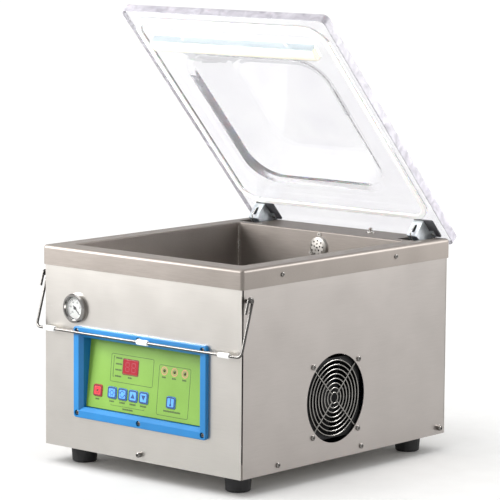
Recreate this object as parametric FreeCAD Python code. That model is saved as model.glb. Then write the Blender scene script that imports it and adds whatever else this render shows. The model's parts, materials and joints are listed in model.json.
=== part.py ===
import FreeCAD
import Part
import math
import os

# Table-top chamber vacuum packing machine, drawn with its lid standing open.
# Millimetres, +Z up, +Y from the front of the machine to its back.
# The origin is on the table under the middle of the whole machine.

V = FreeCAD.Vector
X_AXIS = V(1, 0, 0)
Y_AXIS = V(0, 1, 0)
Z_AXIS = V(0, 0, 1)

# ---- the casing ----
casing_width = 394.0
casing_depth = 480.0
casing_height = 274.5        # from the casing's bottom edge to the rim of the chamber pan
foot_height = 27.0
front_y = -241.2             # where the front panel's outer face lies
sheet = 1.5                  # panel sheet
tray_sheet = 2.0
seam = 2.0                   # open joint between neighbouring panels
fit_gap = 0.2                # side to side clearance of parts that are laid together
panel_return = 15.0          # width of the folded edges of the side panels
half_width = casing_width / 2

# ---- the chamber pan ----
pan_sheet = 2.0
rim_height = 29.5
rim_overhang = 2.5
rim_edge_radius = 5.0
rim_corner_radius = 5.0
mouth_front = 32.0           # depths are measured back from the front panel's face
mouth_back = 408.0
mouth_half_width = 168.0
mouth_edge_radius = 4.5
chamber_depth = 118.0
chamber_corner_radius = 7.0

# ---- the lid ----
lid_open_angle = 47.7
lid_plate = 15.0
lid_side_overhang = 4.5      # past the casing on each side
lid_front_overhang = 1.1
lid_corner_radius = 9.0
lid_gap = 3.0                # lid above the rim when it is shut
axis_below_lid = 18.9        # from the shut lid's underside down to the hinge axis
axis_from_back = 11.0         # hinge axis in front of the casing's back face
pocket_half_width = 148.0
pocket_front = 78.0
pocket_back = 381.0
pocket_corner = 50.0
pocket_depth = 42.0
pocket_slope = 62.0          # how far its wall leans in over the depth
pocket_wall = 6.0
gasket_outer_half_width = 190.0
gasket_front = 12.0
gasket_back = 424.0
gasket_corner = 35.0
gasket_width = 9.0
gasket_groove = 3.0
gasket_proud = 2.6

# ---- sealing ----
bar_depth = 60.0             # centre line of both bars behind the front
bar_length = 320.0
holder_width = 22.0
holder_height = 12.0
holder_wall = 1.2
holder_web = 4.0
silicone_height = 3.5         # how far the silicone stands out of its holder
silicone_shoulder = 0.7
seal_lift = 9.0
seal_gap = 0.8               # between the raised seal bar and the silicone
piston_spacing = 220.0
holder_screw_spacing = 206.0

# ---- heights that follow from those sizes ----
casing_z = foot_height
rim_z = casing_z + casing_height
rim_top = rim_z + rim_height
panel_top = rim_top - pan_sheet - 4.0
lid_under = rim_top + lid_gap
hinge_y = front_y + casing_depth - axis_from_back
hinge_z = lid_under - axis_below_lid
chamber_floor = rim_top - chamber_depth
back_y = front_y + casing_depth
machine_floor = casing_z + tray_sheet
silicone_bottom = lid_under - holder_height - silicone_height

NODES = {}


def keep(name, *shapes):
    """Files one named piece, which may be several equal solids."""
    NODES[name] = shapes[0] if len(shapes) == 1 else Part.makeCompound(list(shapes))


def box(x, y, z):
    """A block between pairs of coordinates."""
    return Part.makeBox(x[1] - x[0], y[1] - y[0], z[1] - z[0], V(x[0], y[0], z[0]))


def bar(centre, size):
    """A block from its centre and its three sizes."""
    low = [centre[i] - size[i] / 2 for i in range(3)]
    return Part.makeBox(size[0], size[1], size[2], V(*low))


def rod(start, direction, radius, length):
    return Part.makeCylinder(radius, length, V(*start), direction)


def turned(start, direction, outline):
    """A solid of revolution: outline is (radius, distance along direction) pairs."""
    points = [V(r, 0, h) for r, h in outline]
    points.append(points[0])
    face = Part.Face(Part.makePolygon(points))
    return aim(face.revolve(V(0, 0, 0), Z_AXIS, 360), start, direction)


def aim(shape, point, direction):
    """Turns a shape built up +Z to face a direction and stands it at a point."""
    shape.Placement = FreeCAD.Placement(V(*point), FreeCAD.Rotation(Z_AXIS, direction))
    return shape


def edges_along(shape, direction):
    found = []
    for edge in shape.Edges:
        if len(edge.Vertexes) == 2:
            run = edge.Vertexes[1].Point - edge.Vertexes[0].Point
            if run.Length > 0 and abs(run.dot(direction)) > 0.999 * run.Length:
                found.append(edge)
    return found


def edges_at_height(shape, height):
    found = []
    for edge in shape.Edges:
        if abs(edge.BoundBox.ZMin - height) < 0.001 and abs(edge.BoundBox.ZMax - height) < 0.001:
            found.append(edge)
    return found


def rounded_block(x, y, z, radius, direction=Z_AXIS):
    block = box(x, y, z)
    return block.makeFillet(radius, edges_along(block, direction))


def soft_block(x, y, z, radius):
    block = box(x, y, z)
    return block.makeFillet(radius, block.Edges)


def fuse_all(shapes):
    first = shapes[0]
    return first.fuse(shapes[1:]) if len(shapes) > 1 else first


def rounded_outline(x, y, z, radius):
    """A closed wire: a rectangle with rounded corners lying at height z."""
    (x0, x1), (y0, y1) = x, y
    corners = [(x1, y0, -90), (x1, y1, 0), (x0, y1, 90), (x0, y0, 180)]
    edges = []
    ends = []
    for cx, cy, start in corners:
        mx = cx - radius if cx == x1 else cx + radius
        my = cy - radius if cy == y1 else cy + radius
        arc = Part.makeCircle(radius, V(mx, my, z), Z_AXIS, start, start + 90)
        edges.append(arc)
        ends.append((arc.valueAt(arc.FirstParameter), arc.valueAt(arc.LastParameter)))
    ordered = []
    for i, arc in enumerate(edges):
        ordered.append(arc)
        ordered.append(Part.makeLine(ends[i][1], ends[(i + 1) % 4][0]))
    return Part.Wire(ordered)


def hose(points, radius, *bends):
    """A round hose or wire along straight runs joined by bends: one radius, or one for each."""
    points = [V(*p) for p in points]
    edges = []
    start = points[0]
    for i in range(1, len(points) - 1):
        bend = bends[min(i, len(bends)) - 1]
        back = (points[i - 1] - points[i]).normalize()
        ahead = (points[i + 1] - points[i]).normalize()
        half = back.getAngle(ahead) / 2
        reach = bend / math.tan(half)
        first = points[i] + back * reach
        last = points[i] + ahead * reach
        middle = (back + ahead).normalize()
        top = points[i] + middle * (bend / math.sin(half) - bend)
        edges.append(Part.makeLine(start, first))
        edges.append(Part.Arc(first, top, last).toShape())
        start = last
    edges.append(Part.makeLine(start, points[-1]))
    path = Part.Wire(edges)
    section = Part.Wire(Part.makeCircle(radius, points[0], points[1] - points[0]))
    return path.makePipeShell([section], True, True)


def pan_screw(point, direction, head_radius, head_height, shank_radius, shank_length):
    """A domed screw with a cross recess; point is under its head."""
    dome = min(head_height, head_radius) * 0.55
    head = Part.makeCylinder(head_radius, head_height)
    head = head.makeFillet(dome, edges_at_height(head, head_height))
    slot_width = head_radius * 0.28
    slot_length = head_radius * 1.15
    slot_depth = dome * 1.1
    for size in ((slot_length, slot_width), (slot_width, slot_length)):
        cut = bar((0, 0, head_height), (size[0], size[1], slot_depth * 2))
        head = head.cut(cut)
    shank = Part.makeCylinder(shank_radius, shank_length + 0.5, V(0, 0, -shank_length))
    return aim(head.fuse(shank), point, direction)


def depth(distance):
    """The y of a point this far behind the front panel's face."""
    return front_y + distance


def height(distance):
    """The z of a point this far above the casing's bottom edge."""
    return casing_z + distance


def opened(shape):
    """Swings a piece of the shut lid up to where it stands open."""
    shape.rotate(V(0, hinge_y, hinge_z), X_AXIS, -lid_open_angle)
    return shape


# ---- fastener sizes ----
screw_head = 4.0
screw_head_height = 2.6
stud_height = 7.0            # the tall heads that the panels hook over
screw_shank = 2.0
screw_length = 8.0
thread_gap = 0.05
side_screw_depths = (81.0, 273.0, 462.5)
side_screw_height = 10.0
small_screw = 1.25           # shanks of the screws in the suction cap's tabs
face_screw = 1.5             # shanks of the screws in the control frame
hinge_screw_hole = 2.05
hinge_screw_steps = (-6, 6)  # above and below the middle of a hinge support
past = 5.0                   # how far a hole is drawn past the face it opens
rim_screw_depths = (85.0, 348.0)
rim_screw_height = casing_height + rim_height / 2
tray_flange = 22.0


def screw_hole(point, direction):
    """A hole right through sheet for one casing screw."""
    start = V(*point) - direction * 20
    return Part.makeCylinder(screw_shank + thread_gap, 40, start, direction)


# ---- base tray, feet ----
foot_inset = 42.0
foot_back_inset = 40.0
foot_radius = 20.5
foot_tip_radius = 18.5
foot_bore = 6.0
foot_bolt_radius = 2.5
foot_tip_round = 1.5
tray_vent_rows = 9
tray_vent_pitch = 14.0
tray_vent_half = 2.5
tray_vent_depths = (190, 250)
tray_half = half_width - sheet - fit_gap
tray_front = depth(sheet + fit_gap)
tray_back = back_y - sheet - fit_gap
foot_places = [(side * (half_width - foot_inset), y)
               for side in (-1, 1) for y in (depth(foot_inset), back_y - foot_back_inset)]


def base_tray():
    outer = box((-tray_half, tray_half), (tray_front, tray_back),
                (casing_z, casing_z + tray_flange))
    hollow = box((-tray_half + tray_sheet, tray_half - tray_sheet),
                 (tray_front + tray_sheet, tray_back - tray_sheet),
                 (machine_floor, casing_z + tray_flange + 1))
    tray = outer.cut(hollow)
    holes = []
    for x, y in foot_places:
        holes.append(rod((x, y, casing_z - 1), Z_AXIS, foot_bolt_radius + thread_gap, tray_sheet + 2))
    for y in side_screw_depths:
        holes.append(Part.makeCylinder(screw_shank + thread_gap, casing_width + 10,
                                       V(-half_width - 5, depth(y), height(side_screw_height)), X_AXIS))
    holes.append(Part.makeCylinder(screw_shank + thread_gap, casing_depth + 10,
                                   V(0, front_y - 5, height(side_screw_height)), Y_AXIS))
    vent_ends = [depth(d) for d in tray_vent_depths]
    for i in range(tray_vent_rows):
        x = (i - (tray_vent_rows - 1) / 2) * tray_vent_pitch
        holes.append(rounded_block((x - tray_vent_half, x + tray_vent_half), vent_ends,
                                   (casing_z - 1, machine_floor + 1), tray_vent_half - 0.1))
    return tray.cut(holes)


def foot(x, y):
    body = turned((x, y, 0), Z_AXIS, [(0, 0), (foot_tip_radius - foot_tip_round, 0),
                                      (foot_tip_radius, foot_tip_round),
                                      (foot_radius, foot_height), (0, foot_height)])
    bore = rod((x, y, -1), Z_AXIS, foot_bore, 16)
    hole = rod((x, y, 0), Z_AXIS, foot_bolt_radius, foot_height + 1)
    return body.cut([bore, hole])


def foot_bolt(x, y):
    return pan_screw((x, y, 15), V(0, 0, -1), 5.2, 3.4, foot_bolt_radius, foot_height - 15 + 8)


keep("base_tray", base_tray())
keep("feet", *[foot(x, y) for x, y in foot_places])

# ---- fan ----
fan_depth = 212.0
fan_height = 91.0
fan_opening = 66.5           # radius of the hole in the right panel
fan_size = 120.0
fan_thick = 38.0
fan_pitch = 105.0            # spacing of the fan's screws
fan_bore = 57.0
guard_rings = 8
guard_first = 8.2
guard_step = 6.9
guard_wire = 1.0
fan_screw = 2.1
fan_y = depth(fan_depth)
fan_z = height(fan_height)
fan_face = half_width - sheet - 3 * guard_wire - 0.1
fan_corners = [(fan_y + i * fan_pitch / 2, fan_z + j * fan_pitch / 2)
               for i in (-1, 1) for j in (-1, 1)]

# ---- control panel ----
panel_x = 1.0
frame_width = 266.0
frame_height = 138.0
frame_centre_height = 119.0
frame_border = 16.0
frame_proud = 6.0
frame_tunnel_wall = 3.0
frame_tunnel_back = 26.0
face_sheet = 2.0
face_low = 5.0               # depth of the green face at its lower edge
face_high = 16.0             # and at its upper edge
key_size = 17.5
key_height = 93.5
key_xs = {"key_stop": -93.7, "key_set": -64.2, "key_mode": -42.9, "key_up": -21.6,
          "key_down": -0.3, "key_temperature": 53.9}
key_travel = 0.5
key_gap = 0.3
window_x = -31.0
window_height = 134.6
window_size = (30.0, 21.5)
lamp_xs = (36.5, 56.5, 76.9)
lamp_height = 138.0
lamp_radius = 2.5
frame_screw_inset = 7.0
frame_screw_bore = 4.4
frame_screw_sink = 3.8       # depth of the counterbores
frame_screw_dx = frame_width / 2 - frame_screw_inset
frame_screw_dz = frame_height / 2 - frame_screw_inset
frame_z = height(frame_centre_height)
opening_half_width = frame_width / 2 - frame_border
opening_half_height = frame_height / 2 - frame_border
face_tilt = math.atan((face_high - face_low) / (2 * opening_half_height))

# ---- gauge ----
gauge_x = -132.0
gauge_bezel_radius = 22.3
gauge_above_frame = 3.7
gauge_height = frame_centre_height + frame_height / 2 + gauge_above_frame + gauge_bezel_radius
gauge_proud = 7.3
gauge_body_radius = 19.5
gauge_body_depth = 20.0
gauge_z = height(gauge_height)

# ---- bail ----
bail_wire_radius = 2.0
bail_x = half_width + 8.0
bail_pivot_depth = 9.0
bail_pivot_height = 258.6
bail_bar_height = 179.7
sleeve_radius = 4.0
sleeve_bore_gap = 0.1
sleeve_length = 21.0
sleeve_xs = (-176.4, 14.0, 172.7)
bail_rest_gap = 0.4
bail_post_radius = 2.3
bail_bend = 8.0
bail_hook = 20.0             # how far the wire runs on below its post
bail_bar_y = front_y - frame_proud - sleeve_radius - bail_rest_gap
bail_bar_z = height(bail_bar_height)
bail_pivot_y = depth(bail_pivot_depth)
bail_pivot_z = height(bail_pivot_height)

# ---- inlet and switch on the back ----
inlet_x = -120.0
inlet_height = 62.0
inlet_flange = (31.0, 62.0)
inlet_body = (27.0, 47.0)
inlet_proud = 3.0
inlet_body_depth = 26.0
socket_size = (23.5, 15.5)
socket_depth = 17.0
socket_drop = 9.0
rocker_size = (19.0, 12.5)
rocker_rise = 13.0
rocker_pivot = 2.0           # its axis behind the flange's face
rocker_tilt = 10.0
inlet_z = height(inlet_height)


louvre_half = 2.0            # half height of every slot in the casing's sheet
louvre_corner = 1.9
side_louvre_rows = 9
side_louvre_columns = 3
side_louvre_rise = 10.0
side_louvre_pitch = 40.0
side_louvre_reach = 15.0
back_louvre_rows = 10
back_louvre_xs = (40.0, 110.0)
back_louvre_rise = 11.0
back_louvre_base = 110.0
back_louvre_reach = 27.0
front_inset = 1.0            # the front and back panels stop short of the side faces


def side_panel(side):
    """One side of the casing with its front and back edges folded in."""
    outer_face = side * half_width
    inner_face = side * (half_width - sheet)
    fold = side * (half_width - panel_return)
    ends = (depth(sheet + seam), back_y - sheet - seam)
    skin = box(sorted((inner_face, outer_face)), ends, (casing_z, panel_top))
    front_fold = box(sorted((fold, outer_face)), (ends[0], ends[0] + sheet),
                     (casing_z + tray_flange + 3, panel_top))
    back_fold = box(sorted((fold, outer_face)), (ends[1] - sheet, ends[1]),
                    (casing_z + tray_flange + 3, panel_top))
    panel = skin.fuse([front_fold, back_fold])
    holes = [screw_hole((outer_face, depth(y), height(side_screw_height)), X_AXIS)
             for y in side_screw_depths]
    holes += [screw_hole((outer_face, depth(y), height(rim_screw_height)), X_AXIS)
              for y in rim_screw_depths]
    holes.append(rod((outer_face - 20, bail_pivot_y, bail_pivot_z), X_AXIS,
                     bail_post_radius - 0.5 + thread_gap, 40))
    return panel.cut(holes)


def right_panel():
    panel = side_panel(1)
    holes = [rod((half_width - 10, fan_y, fan_z), X_AXIS, fan_opening, 20)]
    for y, z in fan_corners:
        holes.append(rod((half_width - 10, y, z), X_AXIS, fan_screw + thread_gap, 20))
    return panel.cut(holes)


def left_panel():
    """The left side breathes through a block of slots opposite the fan."""
    panel = side_panel(-1)
    slots = []
    for row in range(side_louvre_rows):
        for column in range(side_louvre_columns):
            y = fan_y + (column - (side_louvre_columns - 1) / 2) * side_louvre_pitch
            z = fan_z + (row - (side_louvre_rows - 1) / 2) * side_louvre_rise
            slots.append(rounded_block((-half_width - past, -half_width + past),
                                       (y - side_louvre_reach, y + side_louvre_reach),
                                       (z - louvre_half, z + louvre_half), louvre_corner, X_AXIS))
    return panel.cut(slots)


def front_panel():
    half = half_width - front_inset
    panel = box((-half, half), (front_y, depth(sheet)), (casing_z, panel_top))
    tunnel_half = opening_half_width + frame_tunnel_wall + fit_gap
    tunnel_rise = opening_half_height + frame_tunnel_wall + fit_gap
    holes = [box((panel_x - tunnel_half, panel_x + tunnel_half), (front_y - past, depth(2 * past)),
                 (frame_z - tunnel_rise, frame_z + tunnel_rise)),
             rod((gauge_x, front_y - past, gauge_z), Y_AXIS, gauge_body_radius + fit_gap, 4 * past),
             screw_hole((0, front_y, height(side_screw_height)), Y_AXIS)]
    for x, z in frame_screw_places():
        holes.append(rod((x, front_y - past, z), Y_AXIS, face_screw + thread_gap, 4 * past))
    return panel.cut(holes)


def back_panel():
    half = half_width - front_inset
    panel = box((-half, half), (back_y - sheet, back_y), (casing_z, panel_top))
    holes = [screw_hole((0, back_y, height(side_screw_height)), Y_AXIS),
             box((inlet_x - inlet_body[0] / 2 - fit_gap, inlet_x + inlet_body[0] / 2 + fit_gap),
                 (back_y - 2 * past, back_y + past),
                 (inlet_z - inlet_body[1] / 2 - fit_gap, inlet_z + inlet_body[1] / 2 + fit_gap))]
    for row in range(back_louvre_rows):
        z = height(back_louvre_base + row * back_louvre_rise)
        for x in back_louvre_xs:
            holes.append(rounded_block((x - back_louvre_reach, x + back_louvre_reach),
                                       (back_y - 2 * past, back_y + past),
                                       (z - louvre_half, z + louvre_half), louvre_corner, Y_AXIS))
    for side in (-1, 1):
        for dz in hinge_screw_steps:
            holes.append(rod((side * lid_hinge_x, back_y - 2 * past, hinge_z - support_screw_drop + dz),
                             Y_AXIS, hinge_screw_hole, 4 * past))
    return panel.cut(holes)


def frame_screw_places():
    return [(panel_x + i * frame_screw_dx, frame_z + j * frame_screw_dz)
            for i in (-1, 0, 1) for j in (-1, 1)]


# ---- hinges ----
lid_hinge_x = 161.0
channel_width = 19.0
channel_sheet = 1.5
channel_front = 43.0         # reach of the channel in front of the hinge axis
leaf_back = 8.0              # where the leaf ends in front of the axis
eye_radius = 6.5
hinge_pin_radius = 3.0
pin_gap = 0.06
pad_sheet = 2.4
pad_wing = 17.0              # the pad carries on past the channel on one side
pad_front = 44.0
slot_front = 47.0            # slot in the rim, reach in front of the axis
slot_back = 7.5
slot_half_width = 18.5
ear_sheet = 2.5
ear_plate = 1.5
support_screw_drop = 25.0    # from the hinge axis down to the supports' screws
ear_gap = 0.6
ear_reach = 6.5
ear_top = 7.5
ear_bottom = 8.0
spring_wire = 0.9
spring_radius = 6.5
spring_turns = 7
spring_pitch = 1.7

# ---- lid switch on the rim ----
plunger_x = 67.0
plunger_depth = 452.0
plunger_radius = 3.0
plunger_proud = 8.0
plunger_travel = 5.4
plunger_gap = 0.3
bush_radius = 5.0
bush_flange = 6.5

# ---- suction port ----
cap_height = 279.0
cap_radius = 18.0
cap_rise = 6.0
cap_sheet = 1.2
port_radius = 8.0
port_wall = 1.5

# ---- lift cylinders under the seal bar ----
cylinder_radius = 18.0
cylinder_height = 42.0
cylinder_tail = 6.0
piston_radius = 8.0
piston_gap = 0.08
bar_body_width = 24.0
bar_body_height = 20.0
strip_height = 0.6
tape_height = 0.4
seal_top = silicone_bottom - seal_gap - seal_lift
seal_y = depth(bar_depth)
piston_xs = (-piston_spacing / 2, piston_spacing / 2)


def chamber_pan():
    """One pressed pan: the tub, the flange round its mouth and the skirt outside."""
    x_out = half_width + rim_overhang
    y_out = (front_y - rim_overhang, back_y + rim_overhang)
    rim = rounded_block((-x_out, x_out), y_out, (rim_z, rim_top), rim_corner_radius)
    rim = rim.makeFillet(rim_edge_radius, edges_at_height(rim, rim_top))
    x_in = x_out - pan_sheet
    y_in = (y_out[0] + pan_sheet, y_out[1] - pan_sheet)
    under = rounded_block((-x_in, x_in), y_in, (rim_z - 5, rim_top - pan_sheet),
                          rim_corner_radius - pan_sheet)
    under = under.makeFillet(rim_edge_radius - pan_sheet,
                             edges_at_height(under, rim_top - pan_sheet))
    rim = rim.cut(under)
    mouth_x = (-mouth_half_width, mouth_half_width)
    mouth_y = (depth(mouth_front), depth(mouth_back))
    tub = rounded_block((mouth_x[0] - pan_sheet, mouth_x[1] + pan_sheet),
                        (mouth_y[0] - pan_sheet, mouth_y[1] + pan_sheet),
                        (chamber_floor - pan_sheet, rim_top - pan_sheet),
                        chamber_corner_radius + pan_sheet)
    bottom = edges_at_height(tub, chamber_floor - pan_sheet)
    tub = tub.makeFillet(chamber_corner_radius + pan_sheet - 0.5, bottom)
    hollow = rounded_block(mouth_x, mouth_y, (chamber_floor, rim_top + 5), chamber_corner_radius)
    hollow = hollow.makeFillet(chamber_corner_radius - 0.5, edges_at_height(hollow, chamber_floor))
    pan = rim.fuse(tub).cut(hollow)
    lip = [e for e in edges_at_height(pan, rim_top)
           if e.BoundBox.XMax < mouth_half_width + 0.01 and e.BoundBox.XMin > -mouth_half_width - 0.01
           and e.BoundBox.YMin > mouth_y[0] - 0.01 and e.BoundBox.YMax < mouth_y[1] + 0.01]
    pan = pan.makeFillet(pan_sheet - 0.2, lip)
    holes = []
    for side in (-1, 1):
        for y in rim_screw_depths:
            holes.append(screw_hole((side * x_out, depth(y), height(rim_screw_height)), X_AXIS))
        x = side * lid_hinge_x
        holes.append(rounded_block((x - slot_half_width, x + slot_half_width),
                                   (hinge_y - slot_front, hinge_y + slot_back),
                                   (rim_top - 10, rim_top + 5), 2.0))
    for x in piston_xs:
        holes.append(rod((x, seal_y, chamber_floor - 10), Z_AXIS, 5.0 + thread_gap, 20))
    holes.append(rod((plunger_x, depth(plunger_depth), rim_top - 10), Z_AXIS,
                     bush_radius + thread_gap, 20))
    holes.append(rod((0, depth(mouth_back) - 5, height(cap_height)), Y_AXIS,
                     port_radius + thread_gap, 15))
    for a in cap_tab_angles:
        x, z = cap_tab_place(a)
        holes.append(rod((x, depth(mouth_back) - past, z), Y_AXIS, small_screw + thread_gap, 3 * past))
    return pan.cut(holes)


cap_tab_angles = (90, 210, 330)
cap_tab_radius = 3.4
cap_hole = 1.5
cap_rings = ((5, 5.6, 0.3), (9, 10.8, 0.1))     # holes, ring radius, turn of the first hole


def cap_tab_place(angle):
    reach = cap_radius + 2.2
    return (reach * math.cos(math.radians(angle)),
            height(cap_height) + reach * math.sin(math.radians(angle)))


def suction_cap():
    """A pressed sieve over the suction port, held by three tabs."""
    wall = depth(mouth_back)
    centre = (0, wall, height(cap_height))
    outline = [(0, cap_rise), (cap_radius - 6, cap_rise - 0.6), (cap_radius - 2, cap_rise - 2.2),
               (cap_radius, 0), (cap_radius - cap_sheet, 0),
               (cap_radius - 2 - cap_sheet * 0.8, cap_rise - 2.2 - cap_sheet),
               (cap_radius - 6, cap_rise - 0.6 - cap_sheet), (0, cap_rise - cap_sheet)]
    cap = turned(centre, V(0, -1, 0), outline)
    parts = [cap]
    for a in cap_tab_angles:
        x, z = cap_tab_place(a)
        parts.append(rod((x, wall, z), V(0, -1, 0), cap_tab_radius, cap_sheet))
    cap = fuse_all(parts)
    holes = [rod((0, wall + 1, height(cap_height)), V(0, -1, 0), cap_hole, 12)]
    for count, reach, turn in cap_rings:
        for i in range(count):
            a = 2 * math.pi * i / count + turn
            holes.append(rod((reach * math.cos(a), wall + 1, height(cap_height) + reach * math.sin(a)),
                             V(0, -1, 0), cap_hole, 12))
    for a in cap_tab_angles:
        x, z = cap_tab_place(a)
        holes.append(rod((x, wall + 1, z), V(0, -1, 0), small_screw + thread_gap, 12))
    return cap.cut(holes)


def suction_elbow():
    """The stub through the back of the tub, turned down behind it."""
    z = height(cap_height)
    start = depth(mouth_back)
    turn = depth(440.0)
    outer = hose([(0, start, z), (0, turn, z), (0, turn, z - 36)], port_radius, 14)
    flange = rod((0, start + pan_sheet, z), Y_AXIS, port_radius + 5, 3)
    inner = hose([(0, start - 1, z), (0, turn, z), (0, turn, z - 37)], port_radius - port_wall, 14)
    return outer.fuse(flange).cut(inner)


def hinge_support(x):
    """Two ears and their back plate, fixed inside the rim's skirt."""
    inner = channel_width / 2 + ear_gap
    outer = inner + ear_sheet
    plate_z = (hinge_z - support_screw_drop - 11, hinge_z + ear_top)
    parts = [box((x - outer, x + outer), (back_y - sheet - ear_plate, back_y - sheet), plate_z)]
    for side in (-1, 1):
        ear = box(sorted((x + side * inner, x + side * outer)),
                  (hinge_y - ear_reach, back_y - sheet), (hinge_z - ear_bottom, plate_z[1]))
        parts.append(ear)
    support = fuse_all(parts)
    holes = [rod((x - outer - 5, hinge_y, hinge_z), X_AXIS, hinge_pin_radius + 0.02, 2 * outer + 10)]
    for dz in hinge_screw_steps:
        holes.append(rod((x, back_y - 2 * past, hinge_z - support_screw_drop + dz), Y_AXIS,
                         hinge_screw_hole, 4 * past))
    return support.cut(holes)


def hinge_pin(x):
    length = channel_width + 2 * ear_gap + 2 * ear_sheet + 2
    start = x - length / 2
    shank = rod((start, hinge_y, hinge_z), X_AXIS, hinge_pin_radius, length)
    head = rod((start - 1.5, hinge_y, hinge_z), X_AXIS, hinge_pin_radius + 1.5, 1.5)
    clip = rod((start + length - 0.8, hinge_y, hinge_z), X_AXIS, hinge_pin_radius + 1.2, 0.8)
    return fuse_all([shank, head, clip])


def hinge_channel(x):
    """A folded bracket under the lid: leaf, two cheeks with eyes, slotted front web."""
    leaf_z = lid_under - pad_sheet
    y, z = hinge_y, hinge_z
    profile = [(y - channel_front, leaf_z), (y - leaf_back, leaf_z), (y - 2, z + 10.5),
               (y + 3, z), (y, z - eye_radius), (y - 6, z - eye_radius),
               (y - channel_front + 4.5, z - 11), (y - channel_front + 1, z + 5)]
    wire = Part.makePolygon([V(x - channel_width / 2, py, pz) for py, pz in profile + profile[:1]])
    solid = Part.Face(wire).extrude(V(channel_width, 0, 0))
    eyes = rod((x - channel_width / 2, y, z), X_AXIS, eye_radius, channel_width)
    solid = solid.fuse(eyes)
    inside = channel_width / 2 - channel_sheet
    hollow_profile = [(y - channel_front + channel_sheet + 0.1, leaf_z - channel_sheet),
                      (y + 20, leaf_z - channel_sheet), (y + 20, z - 20),
                      (y - channel_front + 4.8, z - 20), (y - channel_front + 6, z - 11),
                      (y - channel_front + channel_sheet + 1, z + 5)]
    hollow_wire = Part.makePolygon([V(x - inside, py, pz)
                                    for py, pz in hollow_profile + hollow_profile[:1]])
    hollow = Part.Face(hollow_wire).extrude(V(2 * inside, 0, 0))
    trimmed = box((x - 20, x + 20), (y - leaf_back, y + 30), (z + 11.5, leaf_z + 5))
    hole = rod((x - 20, y, z), X_AXIS, hinge_pin_radius + pin_gap, 40)
    web_slot = rounded_block((x - 2.6, x + 2.6), (y - channel_front - past, y - channel_front + 2 * past),
                             (z - 5, z + 8.5), 2.0, Y_AXIS)
    tab_y = (y - leaf_back - 13, y - leaf_back)
    tab = rounded_block((x + channel_width / 2 - 0.5, x + channel_width / 2 + 8), tab_y,
                        (leaf_z - channel_sheet, leaf_z), 1.2)
    tab = tab.cut(rod((x + channel_width / 2 + 4, sum(tab_y) / 2, leaf_z - 5), Z_AXIS,
                      1.6 + thread_gap, 10))
    bolt_holes = [rod((x, y - leaf_back - d, leaf_z - 5), Z_AXIS, 2.05, 10) for d in (8, 24)]
    return solid.cut([hollow, trimmed, hole, web_slot]).fuse(tab).cut(bolt_holes)


def hinge_pad(x):
    pad = rounded_block((x - channel_width / 2, x + channel_width / 2 + pad_wing),
                        (hinge_y - pad_front, hinge_y - leaf_back),
                        (lid_under - pad_sheet, lid_under), 2.0)
    holes = [rod((x, hinge_y - leaf_back - d, lid_under - 10), Z_AXIS, 2.05, 20) for d in (8, 24)]
    holes.append(rod((x + channel_width / 2 + 4, hinge_y - leaf_back - 6.5, lid_under - 10), Z_AXIS,
                     1.6 + thread_gap, 20))
    return pad.cut(holes)


def hinge_spring(x):
    """A close-wound coil round the pin whose leg hooks into the channel's front web."""
    turns = []
    first = x - (spring_turns - 1) / 2 * spring_pitch
    for i in range(spring_turns):
        turns.append(Part.makeTorus(spring_radius, spring_wire,
                                    V(first + i * spring_pitch, hinge_y, hinge_z), X_AXIS))
    low = hinge_z - spring_radius
    web = hinge_y - channel_front
    leg = hose([(x, hinge_y + 0.5, low + 0.1), (x, web + 8, low - 8.4),
                (x, web - 1.6, hinge_z - 9), (x, web - 0.9, hinge_z + 6.2),
                (x, web + 6, hinge_z + 4.4)], spring_wire, 2.0)
    return fuse_all(turns).fuse(leg)


def lid_bolt(x, y, top, grip, radius):
    """A flat-headed bolt up into the lid; its head is below whatever it holds."""
    return pan_screw((x, y, top), V(0, 0, -1), radius * 1.9, radius * 0.8, radius, grip)


def lid_shell():
    """A thick clear plate with a pocket drawn up out of its middle."""
    x_out = half_width + lid_side_overhang
    y_out = (front_y - lid_front_overhang, back_y)
    plate = rounded_block((-x_out, x_out), y_out, (lid_under, lid_under + lid_plate),
                          lid_corner_radius)
    edge_round = edges_at_height(plate, lid_under + lid_plate) + edges_at_height(plate, lid_under)
    plate = plate.makeFillet(1.5, edge_round)
    steps = 8
    inner = []
    outer = []
    for i in range(steps + 1):
        t = i / steps
        rise = pocket_depth * (3 * t * t - 2 * t ** 3)
        inset = pocket_slope * t
        corner = pocket_corner - 8 * t
        span_x = pocket_half_width - inset
        span_y = (depth(pocket_front + inset), depth(pocket_back - inset))
        inner.append(rounded_outline((-span_x, span_x), span_y, lid_under + rise, corner))
        wall = pocket_wall
        outer.append(rounded_outline((-span_x - wall, span_x + wall),
                                     (span_y[0] - wall, span_y[1] + wall),
                                     lid_under + rise + wall, corner + wall))
    dome = Part.makeLoft(outer, True, True)
    pocket = Part.makeLoft(inner, True, True)
    groove = gasket(lid_under - 1, gasket_groove + 1)
    shell = plate.fuse(dome).cut([pocket, groove])
    holes = [rod((x, y, lid_under - 1), Z_AXIS, r + thread_gap, up + 1)
             for x, y, r, up, _ in lid_bolt_places()]
    return shell.cut(holes)


def gasket(low, rise):
    """The seal's ring between its outer and inner outlines."""
    outer_half = gasket_outer_half_width
    inner_half = outer_half - gasket_width
    low_y, high_y = depth(gasket_front), depth(gasket_back)
    outer = rounded_block((-outer_half, outer_half), (low_y, high_y), (low, low + rise),
                          gasket_corner)
    inner = rounded_block((-inner_half, inner_half),
                          (low_y + gasket_width, high_y - gasket_width),
                          (low - 1, low + rise + 1), gasket_corner - gasket_width)
    return outer.cut(inner)


def lid_gasket():
    ring = gasket(lid_under - gasket_proud, gasket_proud + gasket_groove)
    low_edges = edges_at_height(ring, lid_under - gasket_proud)
    return ring.makeFillet(1.6, low_edges)


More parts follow.
